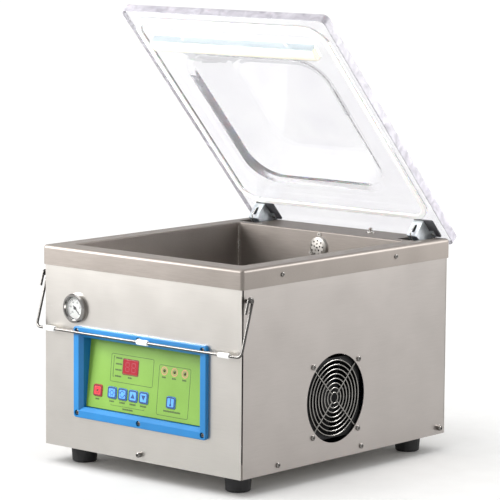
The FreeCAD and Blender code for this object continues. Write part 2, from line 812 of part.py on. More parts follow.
leaf_bolt = 2.0
tab_bolt = 1.6
leaf_bolt_depths = (8, 24)   # in front of the leaf's back edge
tab_bolt_depth = 6.5
tab_bolt_side = 4.0
holder_bolt_depth = 46.0
bolt_end_gap = 0.5


def lid_bolt_places():
    """Where bolts go up into the lid: x, y, radius, how far into the plate, seat of the head."""
    places = []
    leaf_bottom = lid_under - pad_sheet - channel_sheet
    for side in (-1, 1):
        x = side * lid_hinge_x
        for d in leaf_bolt_depths:
            places.append((x, hinge_y - leaf_back - d, leaf_bolt, 10, leaf_bottom))
        places.append((x + channel_width / 2 + tab_bolt_side, hinge_y - leaf_back - tab_bolt_depth,
                       tab_bolt, 8, leaf_bottom))
        places.append((side * holder_screw_spacing / 2, depth(holder_bolt_depth), tab_bolt, 10,
                       lid_under))
    return places


def lid_bolts():
    return [lid_bolt(x, y, seat, up + lid_under - seat - bolt_end_gap, radius)
            for x, y, radius, up, seat in lid_bolt_places()]


def silicone_bar():
    """A strip pressed into the holder's channel, with a crowned face below."""
    y = seal_y
    top = lid_under - holder_web
    shoulder = lid_under - holder_height - silicone_shoulder
    half = holder_width / 2 - holder_wall
    wire = Part.Wire([
        Part.makeLine(V(0, y - half, top), V(0, y - half, shoulder)),
        Part.Arc(V(0, y - half, shoulder), V(0, y, silicone_bottom), V(0, y + half, shoulder)).toShape(),
        Part.makeLine(V(0, y + half, shoulder), V(0, y + half, top)),
        Part.makeLine(V(0, y + half, top), V(0, y - half, top))])
    body = Part.Face(wire).extrude(V(bar_length + 4, 0, 0))
    body.translate(V(-bar_length / 2 - 2, 0, 0))
    return body


def bar_holder():
    """An aluminium channel, open downwards for the silicone."""
    half = bar_length / 2
    wide = holder_width / 2
    body = box((-half, half), (seal_y - wide, seal_y + wide), (lid_under - holder_height, lid_under))
    body = body.makeFillet(0.8, edges_along(body, Z_AXIS))
    inner = wide - holder_wall
    return body.cut(box((-half - 5, half + 5), (seal_y - inner, seal_y + inner),
                        (lid_under - holder_height - 5, lid_under - holder_web)))


# ---- what moves with the lid, drawn shut and then swung open ----
lid_pieces = {"lid_shell": [lid_shell()], "lid_gasket": [lid_gasket()],
              "silicone_bar": [silicone_bar()], "bar_holder": [bar_holder()],
              "lid_bolts": lid_bolts()}
for piece, maker in (("hinge_channels", hinge_channel), ("hinge_pads", hinge_pad),
                     ("hinge_springs", hinge_spring)):
    lid_pieces[piece] = [maker(side * lid_hinge_x) for side in (-1, 1)]
for piece, shapes in lid_pieces.items():
    keep(piece, *[opened(shape) for shape in shapes])

keep("chamber_pan", chamber_pan())
keep("suction_cap", suction_cap())
keep("suction_elbow", suction_elbow())
keep("hinge_supports", *[hinge_support(side * lid_hinge_x) for side in (-1, 1)])
keep("hinge_pins", *[hinge_pin(side * lid_hinge_x) for side in (-1, 1)])
keep("left_panel", left_panel())
keep("right_panel", right_panel())
keep("front_panel", front_panel())
keep("back_panel", back_panel())


# ---- seal bar and its lift ----
def lift_cylinder(x):
    """A cup on the tub's floor with its air stub through the floor."""
    body = turned((x, seal_y, chamber_floor), Z_AXIS,
                  [(0, 0), (cylinder_radius - 1, 0), (cylinder_radius, 1),
                   (cylinder_radius, cylinder_height - 1.5),
                   (cylinder_radius - 1.5, cylinder_height), (0, cylinder_height)])
    stub = rod((x, seal_y, chamber_floor - pan_sheet - cylinder_tail), Z_AXIS, 5.0,
               pan_sheet + cylinder_tail + 1)
    bore = rod((x, seal_y, chamber_floor + 4), Z_AXIS, piston_radius + piston_gap, cylinder_height)
    air = rod((x, seal_y, chamber_floor - 20), Z_AXIS, 2.5, 40)
    return body.fuse(stub).cut([bore, air])


def lift_piston(x):
    low = chamber_floor + 5
    top = seal_top - tape_height - strip_height - bar_body_height
    return turned((x, seal_y, low), Z_AXIS,
                  [(0, 0), (piston_radius - 1, 0), (piston_radius, 1), (piston_radius, top - low),
                   (0, top - low)])


def seal_bar():
    half = bar_length / 2
    top = seal_top - tape_height - strip_height
    body = soft_block((-half, half), (seal_y - bar_body_width / 2, seal_y + bar_body_width / 2),
                      (top - bar_body_height, top), 1.2)
    clamps = [box((side * half - 9, side * half + 9), (seal_y - 5, seal_y + 5),
                  (top - bar_body_height + 4, top - 4)) for side in (-1, 1)]
    return body.cut(clamps)


def heating_strip():
    half = bar_length / 2 - 4
    low = seal_top - tape_height - strip_height
    return box((-half, half), (seal_y - 2.5, seal_y + 2.5), (low, low + strip_height))


def sealing_tape():
    """Coated cloth laid over the strip and stuck down both faces of the bar."""
    half = bar_length / 2 - 14
    wide = bar_body_width / 2
    low = seal_top - tape_height - strip_height
    outer = box((-half, half), (seal_y - wide - tape_height, seal_y + wide + tape_height),
                (low - 12, seal_top))
    inner = box((-half - 1, half + 1), (seal_y - wide, seal_y + wide), (low - 13, low))
    strip = box((-half - 1, half + 1), (seal_y - 2.5, seal_y + 2.5), (low - 1, low + strip_height))
    sides = [box((-half - 1, half + 1), sorted((seal_y + s * 5.0, seal_y + s * (wide + 1))),
                 (low + tape_height, seal_top + 1)) for s in (-1, 1)]
    return outer.cut([inner, strip] + sides)


keep("lift_cylinders", *[lift_cylinder(x) for x in piston_xs])
keep("lift_pistons", *[lift_piston(x) for x in piston_xs])
keep("seal_bar", seal_bar())
keep("heating_strip", heating_strip())
keep("sealing_tape", sealing_tape())


# ---- fan ----
def fan_guard():
    """Rings and diagonal spokes of round wire clamped behind the panel's hole."""
    x = half_width - sheet - guard_wire
    parts = []
    for i in range(guard_rings):
        radius = guard_first + guard_step * i
        parts.append(Part.makeTorus(radius, guard_wire, V(x - 0.9 * guard_wire, fan_y, fan_z), X_AXIS))
    reach = fan_pitch / 2 * math.sqrt(2) - 3.4
    for i in range(4):
        angle = math.radians(45 + 90 * i)
        direction = V(0, math.cos(angle), math.sin(angle))
        inner = guard_first - guard_wire / 2
        start = V(x, fan_y, fan_z) + direction * inner
        parts.append(Part.makeCylinder(guard_wire * 0.95, reach - inner, start, direction))
        eye = Part.makeTorus(3.4, guard_wire * 0.95, V(x, fan_y, fan_z) + direction * (reach + 3.4),
                             X_AXIS)
        parts.append(eye)
    return fuse_all(parts)


def fan_frame():
    back = fan_face - fan_thick
    half = fan_size / 2
    body = rounded_block((back, fan_face), (fan_y - half, fan_y + half),
                         (fan_z - half, fan_z + half), 6.0, X_AXIS)
    bore = rod((back - 1, fan_y, fan_z), X_AXIS, fan_bore, fan_thick + 2)
    waist = box((back + 5, fan_face - 5), (fan_y - half - 1, fan_y + half + 1),
                (fan_z - half - 1, fan_z + half + 1))
    waist = waist.cut(rod((back, fan_y, fan_z), X_AXIS, fan_bore + 2.2, fan_thick))
    screws = [rod((back - 1, y, z), X_AXIS, fan_screw + thread_gap, fan_thick + 2)
              for y, z in fan_corners]
    frame = body.cut([bore, waist] + screws)
    hub = rod((back, fan_y, fan_z), X_AXIS, 24.0, 4.0)
    ribs = [hub]
    for i in range(4):
        rib = box((back, back + 4), (fan_y + 20, fan_y + fan_bore + 1), (fan_z - 3, fan_z + 3))
        rib.rotate(V(back, fan_y, fan_z), X_AXIS, 45 + 90 * i)
        ribs.append(rib)
    axle = rod((back, fan_y, fan_z), X_AXIS, 3.0, 26.0)
    return frame.fuse(ribs + [axle])


def fan_impeller():
    """Seven raked blades on a hub that turns on the frame's axle."""
    back = fan_face - fan_thick + 5.0
    long = 27.0
    hub = rod((back, fan_y, fan_z), X_AXIS, 22.0, long)
    bore = rod((back - 1, fan_y, fan_z), X_AXIS, 3.0 + pin_gap, long - 3.0)
    cup = rod((back - 1, fan_y, fan_z), X_AXIS, 19.5, 8.0)
    blades = []
    for i in range(7):
        blade = box((-1.0, 1.0), (18.0, fan_bore - 2.0), (-15.0, 15.0))
        blade = blade.makeFillet(0.6, edges_along(blade, Y_AXIS))
        blade.rotate(V(0, 0, 0), Y_AXIS, 52)
        blade.translate(V(back + long / 2, 0, 0))
        blade.rotate(V(0, 0, 0), X_AXIS, 360 / 7 * i)
        blade.translate(V(0, fan_y, fan_z))
        blades.append(blade)
    return fuse_all([hub] + blades).cut([bore, cup])


keep("fan_guard", fan_guard())
keep("fan_frame", fan_frame())
keep("fan_impeller", fan_impeller())


# ---- casing screws, bail posts ----
def casing_screws():
    screws = []
    for side in (-1, 1):
        direction = V(side, 0, 0)
        for y in side_screw_depths:
            stand = stud_height if y == side_screw_depths[-1] else screw_head_height
            screws.append(pan_screw((side * half_width, depth(y), height(side_screw_height)),
                                    direction, screw_head, stand, screw_shank, screw_length))
        for y in rim_screw_depths:
            screws.append(pan_screw((side * (half_width + rim_overhang), depth(y),
                                     height(rim_screw_height)), direction, screw_head - 0.6,
                                    screw_head_height - 0.6, screw_shank, screw_length))
    for y, direction, stand in ((front_y, V(0, -1, 0), stud_height), (back_y, Y_AXIS, screw_head_height)):
        screws.append(pan_screw((0, y, height(side_screw_height)), direction, screw_head,
                                stand, screw_shank, screw_length))
    for side in (-1, 1):
        for dz in (-6, 6):
            screws.append(pan_screw((side * lid_hinge_x, back_y, hinge_z - support_screw_drop + dz), Y_AXIS,
                                    screw_head, screw_head_height, screw_shank, screw_length))
    return screws


keep("casing_screws", *casing_screws(), *[foot_bolt(x, y) for x, y in foot_places])
keep("fan_screws", *[pan_screw((half_width, y, z), X_AXIS, 4.2, 2.4, fan_screw, fan_thick + 6)
                     for y, z in fan_corners])


def bail_post(side):
    """A shouldered rivet in the side panel; the wire's eye turns on it."""
    start = (side * (half_width - sheet - 1.2), bail_pivot_y, bail_pivot_z)
    direction = V(side, 0, 0)
    reach = bail_x - half_width + sheet + 1.2
    rivet = bail_post_radius - 0.5
    shoulder = reach - bail_wire_radius - 0.3
    return turned(start, direction, [
        (0, 0), (bail_post_radius, 0), (bail_post_radius, 1.2), (rivet, 1.2), (rivet, 1.2 + sheet),
        (bail_post_radius + 0.8, 1.2 + sheet), (bail_post_radius + 0.8, shoulder),
        (bail_post_radius, shoulder), (bail_post_radius, reach + bail_wire_radius + 0.3),
        (bail_post_radius + 1.4, reach + bail_wire_radius + 0.3),
        (bail_post_radius + 1.0, reach + bail_wire_radius + 1.9),
        (0, reach + bail_wire_radius + 1.9)])


def bail_wire():
    """One wire: bent in a hairpin over each post, with two legs and the bar across the front."""
    turn = bail_post_radius + 0.1 + bail_wire_radius
    to_post = V(0, bail_pivot_y - bail_bar_y, bail_pivot_z - bail_bar_z)
    lean = math.degrees(math.asin(turn / to_post.Length))
    up = FreeCAD.Rotation(X_AXIS, -lean).multVec(to_post.normalize())
    ahead = V(0, -up.z, up.y)
    bar_corner = V(0, bail_bar_y, bail_bar_z)
    leg = V(0, bail_pivot_y - bail_bar_y, bail_pivot_z - bail_bar_z).dot(up)
    first = bar_corner + up * (leg + turn)
    second = first + ahead * (2 * turn + 0.2)
    tip = second - up * (turn + bail_hook)
    half_path = [bar_corner, first, second, tip]
    path = [(-bail_x, p.y, p.z) for p in reversed(half_path)] + [(bail_x, p.y, p.z) for p in half_path]
    return hose(path, bail_wire_radius, turn, turn, bail_bend, bail_bend, turn, turn)


def bail_sleeve(x):
    sleeve = rod((x - sleeve_length / 2, bail_bar_y, bail_bar_z), X_AXIS, sleeve_radius, sleeve_length)
    sleeve = sleeve.makeFillet(1.2, [e for e in sleeve.Edges if e.Curve.TypeId == "Part::GeomCircle"])
    return sleeve.cut(rod((x - sleeve_length, bail_bar_y, bail_bar_z), X_AXIS, bail_wire_radius,
                          2 * sleeve_length))


keep("bail_posts", bail_post(-1), bail_post(1))
keep("bail_wire", bail_wire())
keep("bail_sleeves", *[bail_sleeve(x) for x in sleeve_xs])


# ---- lid switch ----
def switch_bush():
    place = (plunger_x, depth(plunger_depth), rim_top)
    body = turned(place, Z_AXIS, [(0, -12), (bush_radius, -12), (bush_radius, 0), (bush_flange, 0),
                                  (bush_flange, 1.0), (bush_flange - 0.6, 1.6), (0, 1.6)])
    nut = turned((plunger_x, depth(plunger_depth), rim_top - pan_sheet - 4), Z_AXIS,
                 [(bush_radius, 0), (bush_radius + 3.5, 0), (bush_radius + 3.5, 4), (bush_radius, 4)])
    bore = rod((plunger_x, depth(plunger_depth), rim_top - 20), Z_AXIS,
               plunger_radius + 0.06, 40)
    return body.fuse(nut).cut(bore)


def switch_plunger():
    rise = plunger_proud
    return turned((plunger_x, depth(plunger_depth), rim_top), Z_AXIS,
                  [(0, -16), (plunger_radius, -16), (plunger_radius, rise - 1.5),
                   (plunger_radius - 1.5, rise), (0, rise)])


def micro_switch():
    """The small switch the plunger works, on a tab below the bush."""
    top = rim_top - 16 - plunger_travel - 0.4
    y = depth(plunger_depth)
    body = rounded_block((plunger_x - 14, plunger_x + 14), (y - 5.2, y + 5.2), (top - 16, top), 1.0)
    bracket = box((plunger_x - 14, plunger_x + 14), (y - 7.2, y - 5.2), (top - 16, rim_top - pan_sheet))
    nick = rod((plunger_x, y - 10, rim_top - 8), Y_AXIS, 9.5, 6)
    return body.fuse(bracket.cut(nick))


keep("switch_bush", switch_bush())
keep("switch_plunger", switch_plunger())
keep("micro_switch", micro_switch())


# ---- control panel ----
def on_face(x, z, shape):
    """Lays a piece built on the XY plane (+Z outward) on the tilted face at x, z."""
    rise = z - frame_z
    middle = (face_low + face_high) / 2
    y = depth(middle + rise * math.tan(face_tilt))
    shape.rotate(V(0, 0, 0), X_AXIS, 90 - math.degrees(face_tilt))
    shape.translate(V(x, y, z))
    return shape


def control_frame():
    """A moulded surround with a bevelled border and a tunnel back to the face."""
    x = (panel_x - frame_width / 2, panel_x + frame_width / 2)
    z = (frame_z - frame_height / 2, frame_z + frame_height / 2)
    border = rounded_block(x, (front_y - frame_proud, front_y), z, 5.0, Y_AXIS)
    rim = [e for e in border.Edges if abs(e.BoundBox.YMax - front_y + frame_proud) < 0.001]
    border = border.makeFillet(1.5, rim)
    wall = frame_tunnel_wall
    half = opening_half_width
    rise = opening_half_height
    tunnel = box((panel_x - half - wall, panel_x + half + wall), (front_y - 0.1, depth(frame_tunnel_back)),
                 (frame_z - rise - wall, frame_z + rise + wall))
    hollow = box((panel_x - half, panel_x + half), (front_y - 20, depth(40)),
                 (frame_z - rise, frame_z + rise))
    body = border.fuse(tunnel).cut(hollow)
    lead = Part.makeLoft([frame_opening(front_y - frame_proud - 0.5, 5.5),
                          frame_opening(front_y, 0.0)], True, True)
    holes = [lead]
    for px, pz in frame_screw_places():
        holes.append(rod((px, front_y - 20, pz), Y_AXIS, face_screw + thread_gap, 40))
        holes.append(rod((px, front_y - 20, pz), Y_AXIS, frame_screw_bore,
                         20 - frame_proud + frame_screw_sink))
    return body.cut(holes)


def frame_opening(y, grow):
    half = opening_half_width + grow
    rise = opening_half_height + grow
    corners = [(-half, -rise), (half, -rise), (half, rise), (-half, rise), (-half, -rise)]
    return Part.makePolygon([V(panel_x + cx, y, frame_z + cz) for cx, cz in corners])


def control_face():
    """The sloping overlay plate, cut for the keys, the display and the lamps."""
    half = opening_half_width - fit_gap / 2
    rise = opening_half_height / math.cos(face_tilt) - 1.2
    plate = box((panel_x - half, panel_x + half), (-rise, rise), (-face_sheet, 0))
    plate = on_face(0.0, frame_z, plate)
    holes = []
    for x in key_xs.values():
        reach = key_size / 2 + key_gap
        hole = rounded_block((-reach, reach), (-reach, reach), (-9, 9), 3.0)
        holes.append(on_face(x, height(key_height), hole))
    w, h = window_size
    hole = rounded_block((-w / 2, w / 2), (-h / 2, h / 2), (-9, 9), 2.0)
    holes.append(on_face(window_x, height(window_height), hole))
    for x in lamp_xs:
        hole = Part.makeCylinder(lamp_radius, 18, V(0, 0, -9))
        holes.append(on_face(x, height(lamp_height), hole))
    return plate.cut(holes)


def key(x):
    """A cushion-topped cap on a wide foot that keeps it from falling out."""
    half = key_size / 2
    cap = rounded_block((-half, half), (-half, half), (-face_sheet - 1.2, 1.4), 3.0 - key_gap)
    cap = cap.makeFillet(0.7, edges_at_height(cap, 1.4))
    foot_half = half + 1.2
    flange = rounded_block((-foot_half, foot_half), (-foot_half, foot_half),
                           (-face_sheet - 1.4, -face_sheet - 0.4), 2.0)
    return on_face(x, height(key_height), cap.fuse(flange))


def display_window():
    w, h = window_size
    lens = rounded_block((-w / 2 + 0.05, w / 2 - 0.05), (-h / 2 + 0.05, h / 2 - 0.05), (-4, 0.4), 2.0)
    lens = lens.makeFillet(0.3, edges_at_height(lens, 0.4))
    return on_face(window_x, height(window_height), lens)


def indicator_lamp(x):
    body = Part.makeCylinder(lamp_radius - thread_gap, 6.6, V(0, 0, -6))
    body = body.makeFillet(1.6, edges_at_height(body, 0.6))
    return on_face(x, height(lamp_height), body)


def control_board():
    """The circuit board behind the face with its relays and capacitors."""
    half = opening_half_width - 4
    rise = opening_half_height - 4
    board = box((-half, half), (-rise, rise), (-9.2, -7.6))
    parts = [board]
    for x, y, w, h, t in ((-90, 25, 24, 18, 15), (-55, 25, 24, 18, 15), (70, 20, 30, 24, 16),
                          (20, -30, 34, 12, 8), (-85, -28, 20, 16, 12)):
        parts.append(box((x - w / 2, x + w / 2), (y - h / 2, y + h / 2), (-9.2 - t, -9.2)))
    for x in (-20, 0, 95):
        parts.append(Part.makeCylinder(6, 14, V(x, 30, -23.2)))
    return on_face(panel_x, frame_z, fuse_all(parts))


keep("control_frame", control_frame())
keep("control_face", control_face())
for name, x in key_xs.items():
    keep(name, key(x))
keep("display_window", display_window())
keep("indicator_lamps", *[indicator_lamp(x) for x in lamp_xs])
keep("control_board", control_board())
keep("frame_screws", *[pan_screw((x, front_y - frame_proud + frame_screw_sink, z), V(0, -1, 0),
                                  3.4, 2.2, 1.5, 10)
                       for x, z in frame_screw_places()])


# ---- vacuum gauge ----
def gauge_case():
    """The cup behind the panel with its bezel in front and its stem below."""
    face = (gauge_x, front_y, gauge_z)
    forward = V(0, -1, 0)
    r, body, d = gauge_bezel_radius, gauge_body_radius, gauge_body_depth
    cup = turned(face, forward, [
        (0, -d), (body - 1, -d), (body, -d + 1), (body, 0), (r, 0), (r, gauge_proud - 2),
        (r - 2, gauge_proud), (body - 1.5, gauge_proud), (body - 2.5, gauge_proud - 2.5),
        (body - 2.5, 2.0), (body - 3.5, 0.5), (0, 0.5)])
    stem = rod((gauge_x, depth(12), gauge_z - body + 1), V(0, 0, -1), 4.0, 12)
    return cup.fuse(stem)


def gauge_dial():
    face = (gauge_x, front_y, gauge_z)
    dial = turned(face, V(0, -1, 0), [(1.0 + pin_gap, 0.5), (gauge_body_radius - 3.5, 0.5),
                                      (gauge_body_radius - 3.5, 1.0), (1.0 + pin_gap, 1.0)])
    return dial


def gauge_needle():
    """A tapered pointer on the movement's spindle, resting at the start of the scale."""
    length = gauge_body_radius - 6.5
    outline = [V(-4.5, -0.9, 0), V(length, -0.25, 0), V(length, 0.25, 0), V(-4.5, 0.9, 0),
               V(-4.5, -0.9, 0)]
    pointer = Part.Face(Part.makePolygon(outline)).extrude(V(0, 0, 0.5))
    hub = Part.makeCylinder(2.2, 1.2)
    needle = pointer.fuse(hub)
    needle.rotate(V(0, 0, 0), Z_AXIS, needle_rest)
    needle.rotate(V(0, 0, 0), X_AXIS, 90)
    needle.translate(V(gauge_x, front_y - 1.6, gauge_z))
    return needle


def gauge_lens():
    face = (gauge_x, front_y, gauge_z)
    r = gauge_body_radius - 2.5
    return turned(face, V(0, -1, 0), [(0, 3.4), (r, 3.4), (r, 4.8), (0, 4.8)])


needle_rest = -45.0
keep("gauge_case", gauge_case())
keep("gauge_dial", gauge_dial())
keep("gauge_needle", gauge_needle())
keep("gauge_lens", gauge_lens())


# ---- pump ----
pump_depth = 340.0
pump_height = 66.0
motor_radius = 52.0
motor_x = (-25.0, 120.0)
head_x = (-105.0, -25.0)
tank_x = (-172.0, -105.0)
shaft_radius = 7.0


def pump_motor():
    """A finned motor barrel on two feet with a terminal box."""
    y, z = depth(pump_depth), height(pump_height)
    x0, x1 = motor_x
    barrel = rod((x0, y, z), X_AXIS, motor_radius - 4, x1 - x0)
    parts = [barrel]
    for i in range(24):
        fin = box((x0 + 8, x1 - 12), (y - 1.2, y + 1.2), (z + motor_radius - 6, z + motor_radius))
        fin.rotate(V(0, y, z), X_AXIS, 15 * i)
        parts.append(fin)
    cowl = rod((x1 - 24, y, z), X_AXIS, motor_radius, 24)
    parts.append(cowl)
    parts.append(rounded_block((x0 + 40, x0 + 95), (y - 22, y + 22), (z + 40, z + motor_radius + 16), 4.0))
    for x in (x0 + 20, x1 - 40):
        parts.append(box((x - 8, x + 8), (y - 48, y + 48), (machine_floor, machine_floor + 5)))
        parts.append(box((x - 8, x + 8), (y - 30, y + 30), (machine_floor, z - 20)))
    body = fuse_all(parts)
    hollow = rod((x0 - 1, y, z), X_AXIS, motor_radius - 9, x1 - x0 - 3)
    grille = [rod((x1 - 5, y + 12 * j, z + 12 * k), X_AXIS, 4.0, 10)
              for j in range(-3, 4) for k in range(-3, 4) if j * j + k * k < 10]
    return body.cut([hollow] + grille)


def pump_head():
    """The cast body the rotor turns in, with a cover plate and its inlet."""
    y, z = depth(pump_depth), height(pump_height)
    x0, x1 = head_x
    body = rounded_block((x0, x1), (y - 48, y + 48), (machine_floor, z + 50), 8.0)
    inlet = rod((x0 + 40, y, z + 49), Z_AXIS, 9.0, 22)
    body = body.fuse(inlet)
    cavity = rod((x0 + 12, y, z), X_AXIS, 34.0, x1 - x0 - 20)
    shaft = rod((x0 + 12, y, z), X_AXIS, shaft_radius + 0.08, x1 - x0)
    passage = rod((x0 + 40, y, z + 30), Z_AXIS, 6.0, 60)
    return body.cut([cavity, shaft, passage])


def pump_rotor():
    """One turning piece: vane rotor, shaft, motor rotor and cooling fan."""
    y, z = depth(pump_depth), height(pump_height)
    x0, x1 = head_x
    shaft = rod((x0 + 14, y, z), X_AXIS, shaft_radius, motor_x[1] - 12 - x0 - 14)
    vane = rod((x0 + 14, y, z), X_AXIS, 26.0, x1 - x0 - 24)
    core = rod((motor_x[0] + 25, y, z), X_AXIS, 30.0, 70)
    parts = [shaft, vane, core]
    for i in range(6):
        blade = box((motor_x[1] - 24, motor_x[1] - 14), (y - 1, y + 1), (z, z + 36))
        blade.rotate(V(0, y, z), X_AXIS, 60 * i)
        parts.append(blade)
    return fuse_all(parts)


def oil_tank():
    """The oil box bolted to the pump, with a sight glass boss and filler plug."""
    y, z = depth(pump_depth), height(pump_height)
    x0, x1 = tank_x
    body = rounded_block((x0, x1), (y - 44, y + 44), (machine_floor + 8, z + 46), 10.0, X_AXIS)
    glass = rod((x0 - 5, y, z - 12), X_AXIS, 13.0, 8)
    plug = turned((x0 + 34, y, z + 45), Z_AXIS, [(0, 0), (11, 0), (11, 8), (9, 10), (0, 10)])
    ribs = [box((x0 + 12 + 14 * i, x0 + 15 + 14 * i), (y - 46, y + 46), (machine_floor + 20, z + 30))
            for i in range(4)]
    hollow = box((x0 + 5, x1 - 5), (y - 38, y + 38), (machine_floor + 14, z + 40))
    return fuse_all([body, glass, plug] + ribs).cut(hollow)


keep("pump_motor", pump_motor())
keep("pump_head", pump_head())
keep("pump_rotor", pump_rotor())
keep("oil_tank", oil_tank())


# ---- transformer, valves, hoses ----
def transformer():
    """A laminated core with two coils on a foot bracket."""
    x, y = 40.0, depth(110.0)
    low = machine_floor
    core = box((x - 48, x + 48), (y - 20, y + 20), (low + 3, low + 83))
    windows = [box((x + s * 22 - 11, x + s * 22 + 11), (y - 25, y + 25), (low + 19, low + 67))
               for s in (-1, 1)]
    coil = rounded_block((x - 31, x + 31), (y - 34, y + 34), (low + 21, low + 65), 8.0)
    bracket = box((x - 58, x + 58), (y - 24, y + 24), (low, low + 3))
    return fuse_all([core.cut(windows), coil, bracket])


valve_depth = 440.0
valve_low = height(175.0)
valve_block_height = 26.0


def solenoid_valves():
    """Three coil valves in a row under the shared air block."""
    y = depth(valve_depth)
    low = valve_low
    block = rounded_block((-62, 62), (y - 13, y + 13), (low + 42, low + 42 + valve_block_height), 3.0)
    parts = [block]
    for x in (-40, 0, 40):
        parts.append(soft_block((x - 15, x + 15), (y - 14, y + 14), (low, low + 36), 2.0))
        parts.append(rod((x, y, low + 35), Z_AXIS, 7.0, 8))
        parts.append(rod((x, y, low - 4), Z_AXIS, 6.0, 5))
    parts.append(rod((-61, y, low + 55), V(-1, 0, 0), 8.0, 14))
    parts.append(rod((61, y, low + 55), X_AXIS, 4.0, 14))
    top = low + 42 + valve_block_height
    parts.append(rod((0, y, top - 1), Z_AXIS, port_radius + 3, 6))
    body = fuse_all(parts)
    return body.cut(rod((0, y, top - 12), Z_AXIS, port_radius + 0.05, 30))


def hoses():
    """Suction hose to the pump and the thin air lines to cylinders and gauge."""
    y = depth(valve_depth)
    z = valve_low + 55
    pump_top = height(pump_height) + 71
    inlet_px = head_x[0] + 40
    suction_y = depth(pump_depth)
    suction = [(-75, y, z), (-100, y, z), (-100, y, pump_top + 22),
               (inlet_px, suction_y, pump_top + 22), (inlet_px, suction_y, pump_top)]
    port_z = chamber_floor - pan_sheet - cylinder_tail
    gauge_port = gauge_z - gauge_body_radius - 11
    line_z = min(port_z - 9, gauge_port - 14.5)
    thin = 3.2
    feed = [(75, y, z), (150, y, z), (150, y, line_z), (150, seal_y, line_z),
            (piston_xs[1], seal_y, line_z), (piston_xs[1], seal_y, port_z)]
    link = [(piston_xs[1], seal_y, line_z), (piston_xs[0] - 22, seal_y, line_z),
            (piston_xs[0] - 22, depth(12), line_z),
            (piston_xs[0] - 22, depth(12), gauge_port)]
    tee = rod((piston_xs[0], seal_y, line_z), Z_AXIS, thin, port_z - line_z)
    thin_lines = fuse_all([hose(feed, thin, 8), hose(link, thin, 8), tee])
    return [hose(suction, 7.5, 16), thin_lines]


keep("transformer", transformer())
keep("solenoid_valves", solenoid_valves())
keep("hoses", *hoses())


# ---- mains inlet and switch ----
def power_inlet():
    """A moulded inlet: three-pin socket below, switch seat above."""
    w, h = inlet_flange
    bw, bh = inlet_body
    flange = rounded_block((inlet_x - w / 2, inlet_x + w / 2), (back_y, back_y + inlet_proud),
                           (inlet_z - h / 2, inlet_z + h / 2), 3.0, Y_AXIS)
    body = box((inlet_x - bw / 2, inlet_x + bw / 2), (back_y - inlet_body_depth, back_y + 1),
               (inlet_z - bh / 2, inlet_z + bh / 2))
    sw, sh = socket_size
    sz = inlet_z - socket_drop - 4
    face = back_y + inlet_proud
    socket = rounded_block((inlet_x - sw / 2, inlet_x + sw / 2), (face - socket_depth, face + 1),
                           (sz - sh / 2, sz + sh / 2), 2.5, Y_AXIS)
    rw, rh = rocker_size
    rz = inlet_z + rocker_rise
    seat = box((inlet_x - rw / 2 - 0.4, inlet_x + rw / 2 + 0.4), (face - 14, face + 1),
               (rz - rh / 2 - 0.4, rz + rh / 2 + 0.4))
    case = flange.fuse(body).cut([socket, seat])
    pins = [box((inlet_x + dx - 1, inlet_x + dx + 1), (face - socket_depth - 1, face - 5.2),
                (sz + dz - 2, sz + dz + 2)) for dx, dz in ((-7, -2), (0, 2), (7, -2))]
    return case.fuse(pins)


def rocker():
    """The switch's rocking key with two flats, its lower half pressed in when off."""
    rw, rh = rocker_size
    pivot_y = back_y + inlet_proud - rocker_pivot
    rz = inlet_z + rocker_rise
    half = rh / 2
    profile = [(-3.0, 1.4 - half), (3.2, 0.6 - half), (2.0, 0.0), (3.2, half - 0.6), (-3.0, half - 1.4)]
    wire = Part.makePolygon([V(inlet_x - rw / 2, pivot_y + py, rz + pz)
                             for py, pz in profile + profile[:1]])
    key_body = Part.Face(wire).extrude(V(rw, 0, 0))
    key_body.rotate(V(inlet_x, pivot_y, rz), X_AXIS, -rocker_tilt)
    return key_body


keep("power_inlet", power_inlet())
keep("rocker", rocker())

os.makedirs("parts", exist_ok=True)
for name, shape in NODES.items():
    shape.exportStep("parts/" + name + ".step")
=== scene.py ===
"""A table-top chamber vacuum packing machine: finishes, printed panel and small trim."""
import json
import math

import bmesh
import bpy
from mathutils import Matrix, Vector

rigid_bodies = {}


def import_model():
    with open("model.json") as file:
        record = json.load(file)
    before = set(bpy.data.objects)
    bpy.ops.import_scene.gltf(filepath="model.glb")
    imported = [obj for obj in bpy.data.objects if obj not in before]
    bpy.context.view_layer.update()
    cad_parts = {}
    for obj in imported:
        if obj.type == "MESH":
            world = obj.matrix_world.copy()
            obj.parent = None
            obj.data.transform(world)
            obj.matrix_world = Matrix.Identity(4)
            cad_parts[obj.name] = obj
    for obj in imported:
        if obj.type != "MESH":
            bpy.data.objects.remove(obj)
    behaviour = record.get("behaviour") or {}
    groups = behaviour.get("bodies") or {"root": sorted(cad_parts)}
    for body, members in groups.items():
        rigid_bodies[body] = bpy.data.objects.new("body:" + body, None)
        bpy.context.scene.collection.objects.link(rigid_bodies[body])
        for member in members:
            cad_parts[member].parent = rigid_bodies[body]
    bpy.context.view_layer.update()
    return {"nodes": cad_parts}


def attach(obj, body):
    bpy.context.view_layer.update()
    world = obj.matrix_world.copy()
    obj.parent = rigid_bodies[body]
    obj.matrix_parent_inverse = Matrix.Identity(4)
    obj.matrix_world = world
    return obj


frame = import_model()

MM = 0.001


# ---- shading helpers ----

def linear(code):
    """An sRGB hex colour as the four linear numbers that a shader takes."""
    parts = [int(code[i:i + 2], 16) / 255 for i in (1, 3, 5)]
    return [p / 12.92 if p <= 0.04045 else ((p + 0.055) / 1.055) ** 2.4 for p in parts] + [1.0]


def add(tree, kind, sockets=None, **settings):
    """Adds a node with its settings, and sets or links its input sockets."""
    node = tree.nodes.new("ShaderNode" + kind)
    for name, value in settings.items():
        setattr(node, name, value)
    for socket, value in (sockets or {}).items():
        if isinstance(value, bpy.types.NodeSocket):
            tree.links.new(value, node.inputs[socket])
        else:
            node.inputs[socket].default_value = value
    return node


